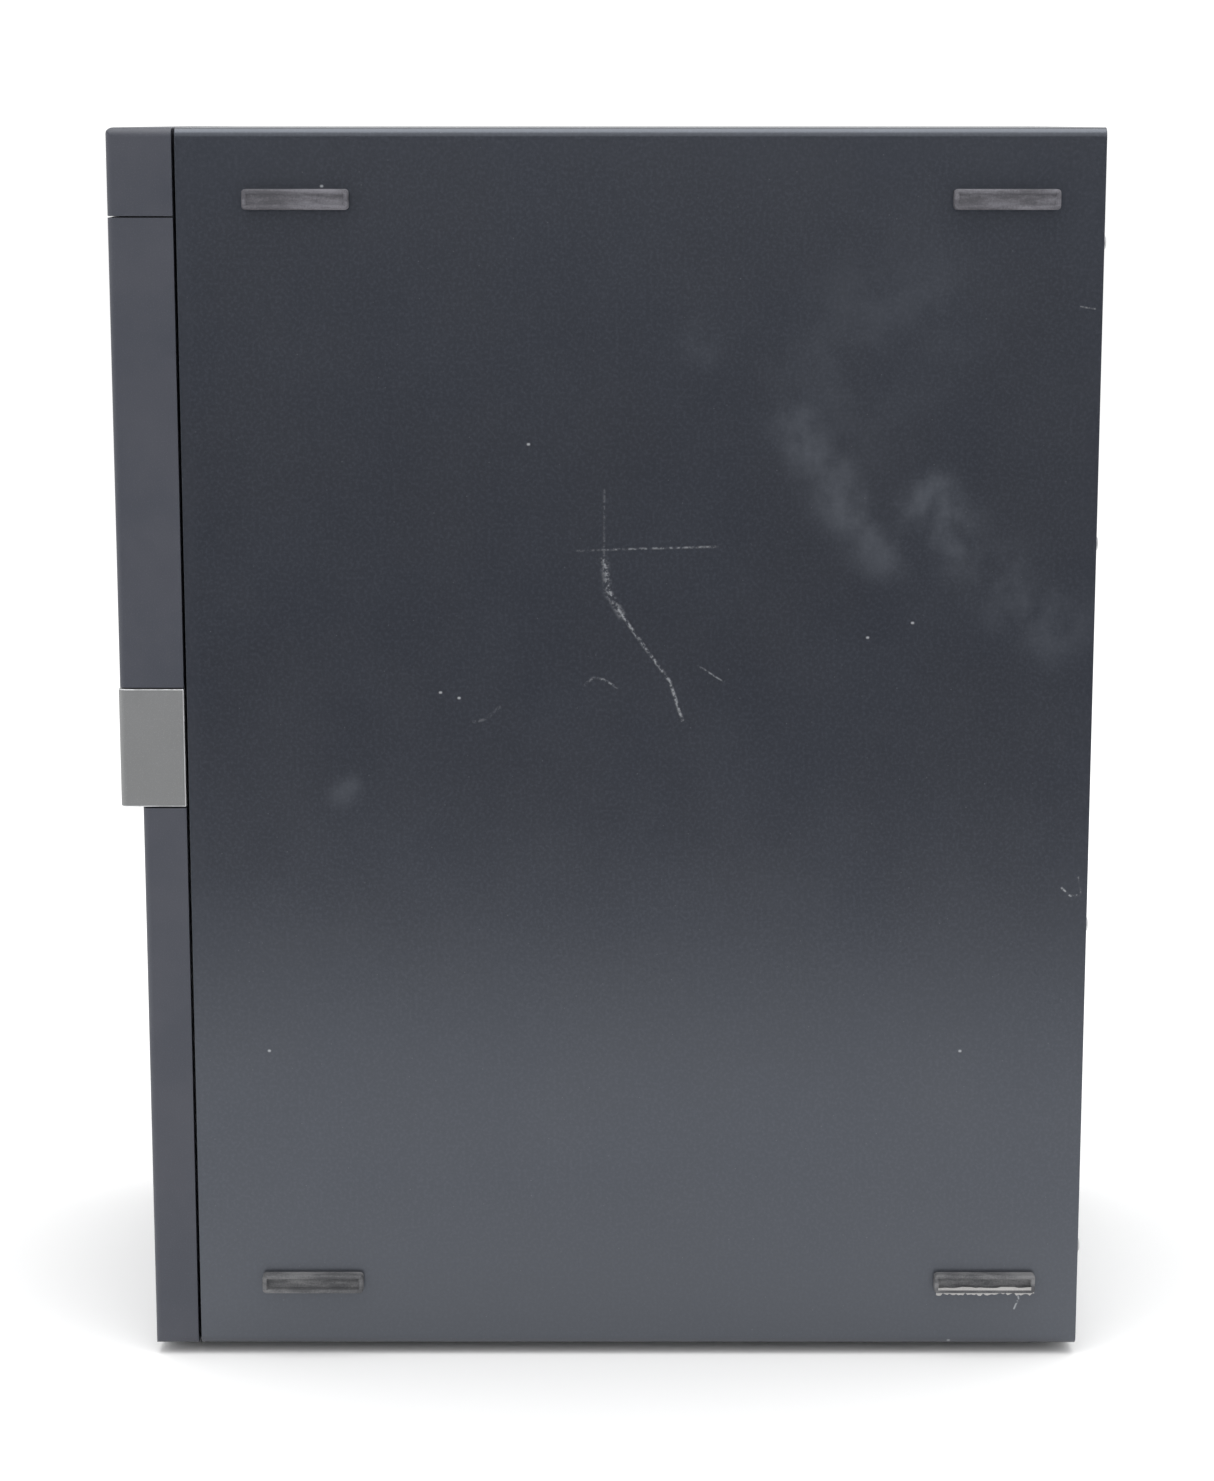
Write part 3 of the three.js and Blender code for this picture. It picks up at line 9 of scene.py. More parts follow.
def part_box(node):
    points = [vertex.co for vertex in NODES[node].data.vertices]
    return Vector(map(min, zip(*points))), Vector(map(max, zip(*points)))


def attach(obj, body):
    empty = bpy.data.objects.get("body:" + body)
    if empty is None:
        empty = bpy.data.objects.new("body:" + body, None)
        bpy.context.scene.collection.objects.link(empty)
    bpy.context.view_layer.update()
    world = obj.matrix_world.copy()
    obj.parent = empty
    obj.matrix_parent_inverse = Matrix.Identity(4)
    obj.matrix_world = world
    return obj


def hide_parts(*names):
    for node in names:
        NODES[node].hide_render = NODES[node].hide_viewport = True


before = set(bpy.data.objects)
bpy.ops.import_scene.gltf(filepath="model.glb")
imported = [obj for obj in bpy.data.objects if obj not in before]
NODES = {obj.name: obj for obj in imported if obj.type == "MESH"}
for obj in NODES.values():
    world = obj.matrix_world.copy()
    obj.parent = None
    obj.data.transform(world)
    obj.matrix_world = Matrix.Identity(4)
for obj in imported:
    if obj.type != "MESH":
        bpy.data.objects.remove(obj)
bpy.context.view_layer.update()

MM = 0.001

# ---------------------------------------------------------------- material kit


class Look:
    """A material with its principled shader, and short ways to add the nodes that feed it."""

    def __init__(self, name, roughness=0.5, metallic=0.0, **sockets):
        self.material = bpy.data.materials.new(name)
        self.material.use_nodes = True
        self.tree = self.material.node_tree
        self.shader = self.tree.nodes["Principled BSDF"]
        self.set("Roughness", roughness)
        self.set("Metallic", metallic)
        for key, value in sockets.items():
            self.set(key.replace("_", " "), value)
        self.point = self.node("ShaderNodeTexCoord").outputs["Object"]

    def set(self, socket, value):
        if isinstance(value, bpy.types.NodeSocket):
            self.tree.links.new(value, self.shader.inputs[socket])
        elif isinstance(value, tuple):
            self.shader.inputs[socket].default_value = (*value, 1)
        else:
            self.shader.inputs[socket].default_value = value

    def node(self, kind, *inputs, **settings):
        made = self.tree.nodes.new(kind)
        for key, value in settings.items():
            setattr(made, key, value)
        for index, value in enumerate(inputs):
            if value is None:
                continue
            if isinstance(value, bpy.types.NodeSocket):
                self.tree.links.new(value, made.inputs[index])
            elif isinstance(value, tuple) and made.inputs[index].type == "RGBA":
                made.inputs[index].default_value = (*value, 1)
            else:
                made.inputs[index].default_value = value
        return made

    def math(self, operation, *inputs, clamp=False):
        return self.node("ShaderNodeMath", *inputs, operation=operation, use_clamp=clamp).outputs[0]

    def vector(self, operation, *inputs):
        made = self.node("ShaderNodeVectorMath", *inputs, operation=operation)
        return made.outputs["Value" if operation in ("DOT_PRODUCT", "LENGTH") else "Vector"]

    def stretch(self, x, y, z):
        return self.vector("MULTIPLY", self.point, (x, y, z))

    def noise(self, size_mm, detail=3.0, roughness=0.5, point=None):
        made = self.node("ShaderNodeTexNoise")
        self.tree.links.new(point or self.point, made.inputs["Vector"])
        made.inputs["Scale"].default_value = 1000 / size_mm
        made.inputs["Detail"].default_value = detail
        made.inputs["Roughness"].default_value = roughness
        return made.outputs[0]

    def cells(self, size_mm, feature="F1", output=0, point=None):
        made = self.node("ShaderNodeTexVoronoi", feature=feature)
        self.tree.links.new(point or self.point, made.inputs["Vector"])
        made.inputs["Scale"].default_value = 1000 / size_mm
        return made.outputs[output]

    def scale(self, value, low, high, to_low=0.0, to_high=1.0):
        """Maps a range smoothly to another one."""
        made = self.node("ShaderNodeMapRange", value, low, high, to_low, to_high)
        made.interpolation_type = "SMOOTHSTEP"
        return made.outputs[0]

    def blend(self, factor, first, second):
        made = self.node("ShaderNodeMix", data_type="RGBA")
        for index, value in ((0, factor), (6, first), (7, second)):
            if isinstance(value, bpy.types.NodeSocket):
                self.tree.links.new(value, made.inputs[index])
            elif isinstance(value, tuple):
                made.inputs[index].default_value = (*value, 1)
            else:
                made.inputs[index].default_value = value
        return made.outputs[2]

    def bump(self, height, depth_mm, strength=1.0, under=None):
        made = self.node("ShaderNodeBump")
        made.inputs["Strength"].default_value = strength
        made.inputs["Distance"].default_value = depth_mm * MM
        self.tree.links.new(height, made.inputs["Height"])
        if under:
            self.tree.links.new(under, made.inputs["Normal"])
        return made.outputs[0]

    def axis(self, name):
        return self.node("ShaderNodeSeparateXYZ", self.point).outputs[name]

    def product(self, *values):
        total = values[0]
        for value in values[1:]:
            total = self.math("MULTIPLY", total, value)
        return total

    def most(self, values):
        """The greatest of several values."""
        top = None
        for value in values:
            top = value if top is None else self.math("MAXIMUM", top, value)
        return top

    def cell_value(self, size_mm, channel):
        """One random value for each cell."""
        return self.node("ShaderNodeSeparateColor", self.cells(size_mm, output=1)).outputs[channel]

    def near_line(self, points, width_mm, strength=1.0):
        """Full strength on a broken line through points (y, z), falling to 0 at its width."""
        flat = self.vector("MULTIPLY", self.point, (0, 1, 1))
        nearest = None
        for (y0, z0), (y1, z1) in zip(points, points[1:]):
            start = Vector((0, y0, z0)) * MM
            run = Vector((0, y1, z1)) * MM - start
            away = self.vector("SUBTRACT", flat, tuple(start))
            share = self.vector("DOT_PRODUCT", away, tuple(run / run.length_squared))
            share = self.math("ADD", share, 0.0, clamp=True)
            along = self.node("ShaderNodeVectorMath", tuple(run), operation="SCALE")
            self.tree.links.new(share, along.inputs["Scale"])
            gap = self.vector("LENGTH", self.vector("SUBTRACT", away, along.outputs[0]))
            nearest = gap if nearest is None else self.math("MINIMUM", nearest, gap)
        return self.scale(nearest, 0.0, width_mm * MM, strength, 0.0)


# Marks on the right side, in millimetres (y, z): wiped smudges, scratches and specks. Most places were
# measured on the photo and converted to millimetres by another program.
SMUDGES = (
    ([(47, 259), (54, 248), (61, 236), (70, 227)], 13, 0.8),
    ([(75, 236), (84, 241), (88, 232), (95, 227)], 11, 1.0),
    ([(95, 227), (104, 216), (116, 207)], 17, 0.6),
    ([(60, 272), (73, 293)], 38, 0.28),
    ([(21, 281), (22, 283)], 9, 0.35),
    ([(-76, 160), (-74, 162)], 6, 0.55),
)
SCRATCHES = (
    ([(-4.7, 243), (-4.8, 224)], 0.5, 0.16),
    ([(-4.8, 224), (-2.6, 213), (5, 202), (13, 191), (16.3, 180.5)], 0.7, 0.56),
    ([(-4.8, 224), (-3.6, 215), (0, 209)], 1.7, 0.34),
    ([(-12, 226.4), (-4.5, 226.8)], 0.45, 0.2),
    ([(-4.5, 226.8), (25.5, 227.6)], 0.45, 0.42),
    ([(-10.2, 190), (-7.8, 192), (-5, 191.6), (-1.3, 189.4)], 0.5, 0.42),
    ([(20.5, 195.4), (27.5, 190.9)], 0.36, 0.4),
    ([(-40, 180), (-37, 180.6), (-33, 184)], 0.7, 0.16),
    ([(109.6, 13.6), (110.8, 16.6), (110.4, 18.4)], 0.4, 0.8),
    ([(120, 134), (122.3, 131.8), (125, 132)], 0.45, 0.7),
    ([(124.4, 137), (125.2, 132)], 0.4, 0.5),
    ([(121, 291.4), (125, 290.8)], 0.35, 0.4),
)
SPECKS = ((66, 203), (78, 207), (-49, 188), (-44, 186.5), (-25, 255), (-79, 322.8), (-97, 88), (93, 88),
    (91.4, 4.2))


def painted_steel():
    """Dark satin paint on the skin, with its scratches, specks and wiped haze, made lighter towards the
    floor by a painted floor reflection and dust.
    """
    look = Look("dark satin paint", IOR=1.82, Specular_Tint=(0.83, 0.89, 1.0))
    tint = look.scale(look.noise(38, 4, 0.6), 0.35, 0.65)
    color = look.blend(tint, (0.0146, 0.0162, 0.0218), (0.0154, 0.0165, 0.0212))
    grain = look.scale(look.noise(0.9, 2, 0.6), 0.4, 0.75, 0.0, 0.34)
    color = look.blend(grain, color, (0.045, 0.049, 0.062))

    # paint made lighter towards the floor: a painted reflection of the bright floor, and dust
    film = look.scale(look.axis(2), 3 * MM, 55 * MM, 0.36, 0.0)
    color = look.blend(film, color, (0.06, 0.062, 0.068))

    # marks are on the right side only
    right_side = look.scale(look.axis(0), 60 * MM, 80 * MM)
    wiped = look.noise(15, 5, 0.6, point=look.stretch(1, 1.2, 1))
    haze = look.most(look.near_line(*mark) for mark in SMUDGES)
    haze = look.product(haze, look.scale(wiped, 0.34, 0.68, 0.08, 1.0), right_side)
    color = look.blend(look.math("MULTIPLY", haze, 0.55), color, (0.07, 0.077, 0.09))

    broken = look.scale(look.noise(1.2, 3, 0.7), 0.45, 0.6, 0.05, 1.0)
    scratch = look.most(look.near_line(*mark) for mark in SCRATCHES)
    scratch = look.product(scratch, broken, right_side)
    speck = look.most(look.near_line([(y, z), (y + 0.2, z)], 0.55, 0.9) for y, z in SPECKS)
    rare = look.scale(look.cell_value(9, 0), 0.86, 0.9)
    dust = look.product(look.scale(look.cells(9), 0.02, 0.036, 0.55, 0.0), rare)
    dust = look.math("MAXIMUM", dust, look.scale(look.cells(4.2), 0.02, 0.05, 0.13, 0.0))
    speck = look.math("MAXIMUM", dust, look.math("MULTIPLY", speck, right_side))
    wear_and_highlight = look.math("MAXIMUM", scratch, speck)
    look.set("Base Color", look.blend(wear_and_highlight, color, (0.36, 0.37, 0.38)))

    rough = look.scale(look.noise(26, 4, 0.6), 0.3, 0.7, 0.28, 0.31)
    look.set("Roughness", look.math("MULTIPLY_ADD", haze, 0.12, rough))
    peel = look.bump(look.noise(1.5, 2, 0.5), 0.016)
    fine = look.bump(look.noise(0.45, 2, 0.6), 0.006, under=peel)
    look.set("Normal", look.bump(scratch, 0.03, under=fine))
    return look.material


def moulded_plastic(name, color, light, roughness, grain_mm=0.35, depth_mm=0.012):
    """Spark-eroded moulded plastic: a fine even grain, slight tint changes and rubbed spots."""
    look = Look(name)
    tint = look.scale(look.noise(22, 4, 0.6), 0.35, 0.65)
    grain = look.noise(grain_mm, 3, 0.65)
    base = look.blend(tint, color, light)
    peaks = look.scale(grain, 0.5, 0.75, 0.0, 0.35)
    look.set("Base Color", look.blend(peaks, base, tuple(min(1, c * 1.7 + 0.01) for c in light)))
    rubbed = look.scale(look.noise(13, 5, 0.65), 0.3, 0.7, roughness - 0.05, roughness + 0.06)
    look.set("Roughness", rubbed)
    look.set("Normal", look.bump(grain, depth_mm))
    return look.material


def zinc_sheet(name="zinc-coated sheet", color=(0.37, 0.385, 0.40), roughness=0.37):
    """Galvanised steel: soft spangle, rolling lines and a few stains."""
    look = Look(name, metallic=1.0)
    flake = look.cell_value(5.5, 0)
    flake2 = look.cell_value(2.6, 1)
    spangle = look.math("MULTIPLY_ADD", flake, 0.6, look.math("MULTIPLY", flake2, 0.4))
    rolled = look.noise(1.2, 3, 0.6, point=look.stretch(1, 1, 0.06))
    stain = look.scale(look.noise(30, 5, 0.6), 0.55, 0.75)
    base = look.blend(spangle, tuple(c * 0.86 for c in color), tuple(min(1, c * 1.12) for c in color))
    look.set("Base Color", look.blend(look.math("MULTIPLY", stain, 0.35), base, (0.27, 0.27, 0.265)))
    rough = look.math("MULTIPLY_ADD", spangle, 0.12, roughness - 0.06)
    rough = look.math("MULTIPLY_ADD", rolled, 0.08, rough)
    look.set("Roughness", look.math("MULTIPLY_ADD", stain, 0.1, rough))
    look.set("Normal", look.bump(rolled, 0.01, 0.6))
    return look.material


def plated(name, color, roughness=0.25):
    """Plated or machined metal with fine turning lines and finger marks."""
    look = Look(name, metallic=1.0)
    lines = look.noise(0.5, 2, 0.6, point=look.stretch(0.15, 1, 1))
    marks = look.scale(look.noise(9, 4, 0.6), 0.45, 0.7)
    look.set("Base Color", look.blend(look.math("MULTIPLY", marks, 0.3), color,
        tuple(c * 0.7 for c in color)))
    rough = look.math("MULTIPLY_ADD", lines, 0.12, roughness - 0.05)
    look.set("Roughness", look.math("MULTIPLY_ADD", marks, 0.12, rough))
    look.set("Normal", look.bump(lines, 0.006, 0.5))
    return look.material


def silver_paint():
    """Satin silver lacquer with metal flake; its bevelled edges get a painted highlight from a separate
    material.
    """
    look = Look("silver lacquer", metallic=0.35)
    flake = look.noise(0.22, 2, 0.7)
    cloud = look.scale(look.noise(30, 3, 0.5), 0.35, 0.65)
    base = look.blend(cloud, (0.196, 0.199, 0.2), (0.206, 0.209, 0.211))
    look.set("Base Color", look.blend(look.scale(flake, 0.55, 0.75, 0, 0.3), base, (0.5, 0.5, 0.5)))
    look.set("Roughness", look.scale(flake, 0.3, 0.7, 0.36, 0.48))
    look.set("Normal", look.bump(flake, 0.006))
    return look.material


def rubber(name, color, dust):
    """Matt rubber with dust held in its skin."""
    look = Look(name)
    fine = look.noise(0.5, 4, 0.7)
    coarse = look.noise(6, 4, 0.65, point=look.stretch(1, 0.35, 1.6))
    dusty = look.scale(look.math("MULTIPLY_ADD", fine, 0.35, coarse), 0.52, 0.86)
    look.set("Base Color", look.blend(dusty, color, dust))
    look.set("Roughness", look.scale(coarse, 0.3, 0.7, 0.72, 0.9))
    look.set("Normal", look.bump(look.math("MULTIPLY_ADD", fine, 0.5, coarse), 0.05, 0.8))
    return look.material


def circuit_board():
    """Solder mask over copper tracks, with tinned pads and vias."""
    look = Look("circuit board", Coat_Weight=0.3, Coat_Roughness=0.2)
    lane = look.node("ShaderNodeTexWave", wave_type="BANDS", bands_direction="Y")
    look.tree.links.new(look.point, lane.inputs["Vector"])
    lane.inputs["Scale"].default_value = 150
    lane.inputs["Distortion"].default_value = 0
    other = look.node("ShaderNodeTexWave", wave_type="BANDS", bands_direction="Z")
    look.tree.links.new(look.point, other.inputs["Vector"])
    other.inputs["Scale"].default_value = 170
    block = look.cell_value(17, 0)
    which = look.scale(block, 0.45, 0.5)
    stripes = look.blend(which, lane.outputs["Fac"], other.outputs["Fac"])
    tracks = look.scale(stripes, 0.55, 0.7)
    present = look.scale(look.noise(12, 2, 0.5), 0.45, 0.5)
    tracks = look.math("MULTIPLY", tracks, present)
    vias = look.scale(look.cells(3.4), 0.16, 0.2, 1.0, 0.0)
    keep = look.cell_value(3.4, 1)
    vias = look.math("MULTIPLY", vias, look.scale(keep, 0.55, 0.6))
    green = look.blend(look.scale(look.noise(25, 3, 0.5), 0.3, 0.7), (0.008, 0.06, 0.035),
        (0.012, 0.082, 0.048))
    color = look.blend(look.math("MULTIPLY", tracks, 0.6), green, (0.03, 0.17, 0.085))
    look.set("Base Color", look.blend(vias, color, (0.55, 0.52, 0.42)))
    look.set("Metallic", look.math("MULTIPLY", vias, 0.9))
    look.set("Roughness", look.scale(vias, 0, 1, 0.42, 0.3))
    look.set("Normal", look.bump(look.math("MAXIMUM", tracks, vias), 0.03, 0.7))
    return look.material


def paper():
    """A blank stuck-on label: off-white, slightly marked, with rubbed spots."""
    look = Look("blank label", roughness=0.55)
    fibre = look.noise(0.8, 3, 0.6)
    grime = look.scale(look.noise(11, 5, 0.65), 0.5, 0.8)
    base = look.blend(fibre, (0.60, 0.59, 0.56), (0.67, 0.66, 0.64))
    look.set("Base Color", look.blend(look.math("MULTIPLY", grime, 0.5), base, (0.45, 0.43, 0.40)))
    look.set("Normal", look.bump(fibre, 0.01))
    return look.material


def milky():
    """A light pipe: milky clear plastic."""
    look = Look("milky light pipe", Transmission_Weight=0.25, IOR=1.49)
    cloud = look.noise(2.5, 3, 0.5)
    look.set("Base Color", look.blend(cloud, (0.62, 0.65, 0.68), (0.78, 0.80, 0.82)))
    look.set("Roughness", look.scale(cloud, 0.3, 0.7, 0.22, 0.34))
    return look.material


def painted_edge_highlight():
    """Painted highlight along an edge of the silver lacquer: a brighter, more metallic colour standing in
    for the light its bevel catches.
    """
    look = Look("silver edge painted highlight", metallic=0.6)
    wear_and_highlight = look.scale(look.noise(3, 4, 0.7), 0.35, 0.65)
    look.set("Base Color", look.blend(wear_and_highlight, (0.42, 0.43, 0.43), (0.66, 0.67, 0.68)))
    look.set("Roughness", look.scale(wear_and_highlight, 0, 1, 0.4, 0.28))
    return look.material


def plastic(name, color, roughness=0.42):
    """Moulded plastic in a plain colour, with a fine grain."""
    return moulded_plastic(name, color, tuple(min(1, c * 1.25 + 0.004) for c in color), roughness)


PAINT = painted_steel()
BEZEL = moulded_plastic("moulded bezel", (0.039, 0.043, 0.057), (0.046, 0.049, 0.063), 0.47, 0.4, 0.016)
BLACK = plastic("black plastic", (0.014, 0.014, 0.016))
FAN_PLASTIC = plastic("fan plastic", (0.018, 0.018, 0.02), 0.36)
BLUE = plastic("blue socket plastic", (0.02, 0.09, 0.3))
PORT_BLUE = plastic("blue slot plastic", (0.03, 0.12, 0.33))
PINK = plastic("pink socket plastic", (0.55, 0.16, 0.22))
GREEN = plastic("green socket plastic", (0.16, 0.42, 0.12))
AMBER = plastic("amber lamp", (0.6, 0.3, 0.04), 0.3)
IVORY = plastic("ivory plastic", (0.62, 0.59, 0.5), 0.46)
FERRITE = plastic("ferrite and sleeves", (0.035, 0.036, 0.042), 0.5)
SLEEVE = plastic("black wire", (0.014, 0.014, 0.015), 0.5)
YELLOW = plastic("yellow wire", (0.62, 0.45, 0.03), 0.5)
RED = plastic("red wire", (0.45, 0.03, 0.025), 0.5)
ORANGE = plastic("orange wire", (0.6, 0.2, 0.02), 0.5)
SILVER = silver_paint()
SILVER_EDGE_HIGHLIGHT = painted_edge_highlight()
ZINC = zinc_sheet()
SOCKET = plated("tinned sheet", (0.47, 0.475, 0.485), 0.3)
NICKEL = plated("nickel plate", (0.66, 0.65, 0.62), 0.24)
GOLD = plated("gold contacts", (0.82, 0.60, 0.26), 0.22)
ALUMINIUM = plated("extruded aluminium", (0.66, 0.67, 0.69), 0.32)
LENS = plastic("lens glass", (0.03, 0.05, 0.13), 0.08)
RUBBER = rubber("rubber feet", (0.062, 0.061, 0.07), (0.15, 0.147, 0.165))
DUSTY = rubber("dusty rubber feet", (0.058, 0.059, 0.064), (0.17, 0.17, 0.175))
FILM = plastic("torn film", (0.3, 0.295, 0.29), 0.6)
BOARD = circuit_board()
PAPER = paper()
MILKY = milky()

# ---------------------------------------------------------------- how each CAD piece is finished


def smooth(obj, degrees=32):
    for face in obj.data.polygons:
        face.use_smooth = True
    obj.data.set_sharp_from_angle(angle=math.radians(degrees))


def finish_cad(name, material, edge_mm=0.25, segments=2, edge_material=None):
    """Welds, smooths and rounds the edges of a CAD node, and gives it a material."""
    obj = NODES[name]
    obj.data.materials.clear()
    obj.data.materials.append(material)
    weld = obj.modifiers.new("weld", "WELD")
    weld.merge_threshold = 0.003 * MM
    flat = obj.modifiers.new("flat faces", "DECIMATE")
    flat.decimate_type = "DISSOLVE"
    flat.angle_limit = math.radians(1)
    flat.delimit = {"MATERIAL"}
    if edge_mm:
        edge = obj.modifiers.new("edges", "BEVEL")
        edge.width = edge_mm * MM
        edge.segments = segments
        edge.limit_method = "ANGLE"
        edge.angle_limit = math.radians(35)
        edge.harden_normals = True
        if edge_material:
            obj.data.materials.append(edge_material)
            edge.material = 1
    # keeps large flat faces flat where they run into a bend
    weighted = obj.modifiers.new("weighted normals", "WEIGHTED_NORMAL")
    weighted.keep_sharp = True
    weighted.weight = 90
    smooth(obj)
    return obj


FINISH = {
    "outer_skin": (PAINT, 0.2),
    "access_panel": (PAINT, 0.2),
    "latch_cup": (BLACK, 0.3),
    "panel_latch": (BLACK, 0),
    "front_wall": (ZINC, 0.12),
    "rear_wall": (ZINC, 0.12),
    "board_tray": (ZINC, 0.12),
    "padlock_loop": (ZINC, 0.3),
    "slot_retainer": (ZINC, 0.2),
    "front_bezel": (BEZEL, 0.25),
    "bezel_cap": (BEZEL, 0.25),
    "bay_cover": (BEZEL, 0.3),
    "power_button": (BEZEL, 0.5),
    "drive_light": (MILKY, 0.2),
    "front_board": (BOARD, 0.1),
    "front_ports_left": (SOCKET, 0.15),
    "front_ports_right": (SOCKET, 0.15),
    "front_port_type_c": (SOCKET, 0.15),
    "headset_jack": (BLACK, 0.2),
    "drive_bay_frame": (ZINC, 0.12),
    "optical_drive_shell": (ZINC, 0.15),
    "disc_tray": (BLACK, 0.3),
    "tray_bezel": (BEZEL, 0.25),
    "eject_button": (BEZEL, 0.25),
    "hard_drive": (ALUMINIUM, 0.4),
    "hard_drive_cage": (ZINC, 0.12),
    "motherboard": (BOARD, 0.15),
    "processor": (ALUMINIUM, 0.2),
    "heatsink": (ALUMINIUM, 0.1),
    "memory_module_1": (BOARD, 0.1),
    "memory_module_2": (BOARD, 0.1),
    "display_ports": (SOCKET, 0.15),
    "usb_stack": (SOCKET, 0.15),
    "lan_stack": (SOCKET, 0.15),
    "audio_jacks": (BLACK, 0.2),
    "port_shield": (SOCKET, 0.12),
    "supply_case": (ZINC, 0.25),
    "supply_board": (BOARD, 0.15),
    "mains_inlet": (BLACK, 0.3),
    "rear_fan_frame": (BLACK, 0.4),
    "rear_fan_rotor": (BLACK, 0.25),
    "supply_fan_frame": (BLACK, 0.4),
    "supply_fan_rotor": (BLACK, 0.25),
    "cooler_fan_frame": (BLACK, 0.4),
    "cooler_fan_rotor": (BLACK, 0.25),
    "main_power_cable": (BLACK, 0),
    "drive_cable": (BLACK, 0),
}
for node, (material, edge_mm) in FINISH.items():
    finish_cad(node, material, edge_mm)
# the accent band's bevelled edges get the painted-highlight material
finish_cad("accent_band", SILVER, 0.3, 3, SILVER_EDGE_HIGHLIGHT)
for node in NODES:
    if node.startswith("slot_cover"):
        finish_cad(node, ZINC, 0.12)

# ---------------------------------------------------------------- mesh kit


def millimetres(node):
    low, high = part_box(node)
    return low / MM, high / MM


def grow(span, by):
    return (span[0] - by, span[1] + by)


def around(middle, width):
    return (middle - width / 2, middle + width / 2)


def from_base(base, profile):
    """A profile whose last numbers were counted from a base."""
    return [(*point[:-1], base + point[-1]) for point in profile]


def across(axis, a, b, along):
    """A point from its two places across an axis and its place along it."""
    return {"x": (along, a, b), "y": (a, along, b), "z": (a, b, along)}[axis]


def circle(axis, centre, radius, along, sides):
    """A loop of points round an axis; the radius may be a function of the angle."""
    loop = []
    for i in range(sides):
        angle = 2 * math.pi * i / sides
        r = radius(angle) if callable(radius) else radius
        loop.append(across(axis, centre[0] + r * math.cos(angle), centre[1] + r * math.sin(angle), along))
    return loop


def rectangle(axis, a, b, corner, along, steps=4):
    """A loop round a rectangle with rounded corners, across an axis."""
    loop = []
    middles = ((a[1] - corner, b[1] - corner), (a[0] + corner, b[1] - corner),
               (a[0] + corner, b[0] + corner), (a[1] - corner, b[0] + corner))
    for quarter, (ca, cb) in enumerate(middles):
        for i in range(steps + 1):
            angle = math.pi / 2 * (quarter + i / steps)
            loop.append(across(axis, ca + corner * math.cos(angle), cb + corner * math.sin(angle), along))
    return loop


def smooth_path(points, steps):
    """Points along a centripetal Catmull-Rom curve."""
    points = [Vector(p) for p in points]
    points = [2 * points[0] - points[1], *points, 2 * points[-1] - points[-2]]
    path = []
    for i in range(steps + 1):
        place = (len(points) - 3) * i / steps
        k = min(int(place), len(points) - 4)
        row = points[k:k + 4]
        knots = [0.0]
        for first, second in zip(row, row[1:]):
            knots.append(knots[-1] + math.sqrt((second - first).length))
        t = knots[1] + (place - k) * (knots[2] - knots[1])
        for reach in (1, 2):
            row = [
                first.lerp(second, (t - knots[j]) / (knots[j + reach] - knots[j]))
                for j, (first, second) in enumerate(zip(row, row[1:]))
            ]
        path.append(row[0].lerp(row[1], (t - knots[1]) / (knots[2] - knots[1])))
    return path


def frames_along(path):
    """Two directions across a path at each point, carried along it without twist."""
    side = None
    frames = []
    for i, point in enumerate(path):
        ahead = (path[min(i + 1, len(path) - 1)] - path[max(i - 1, 0)]).normalized()
        side = ahead.orthogonal() if side is None else side - ahead * side.dot(ahead)
        side.normalize()
        frames.append((side.copy(), ahead.cross(side)))
    return frames


def cross_slot(length, width):
    """The outline of a cross-head recess, as a radius for each angle."""
    def radius(angle):
        c, s = max(abs(math.cos(angle)), 1e-6), max(abs(math.sin(angle)), 1e-6)
        return max(min(length / c, width / s), min(width / c, length / s))
    return radius


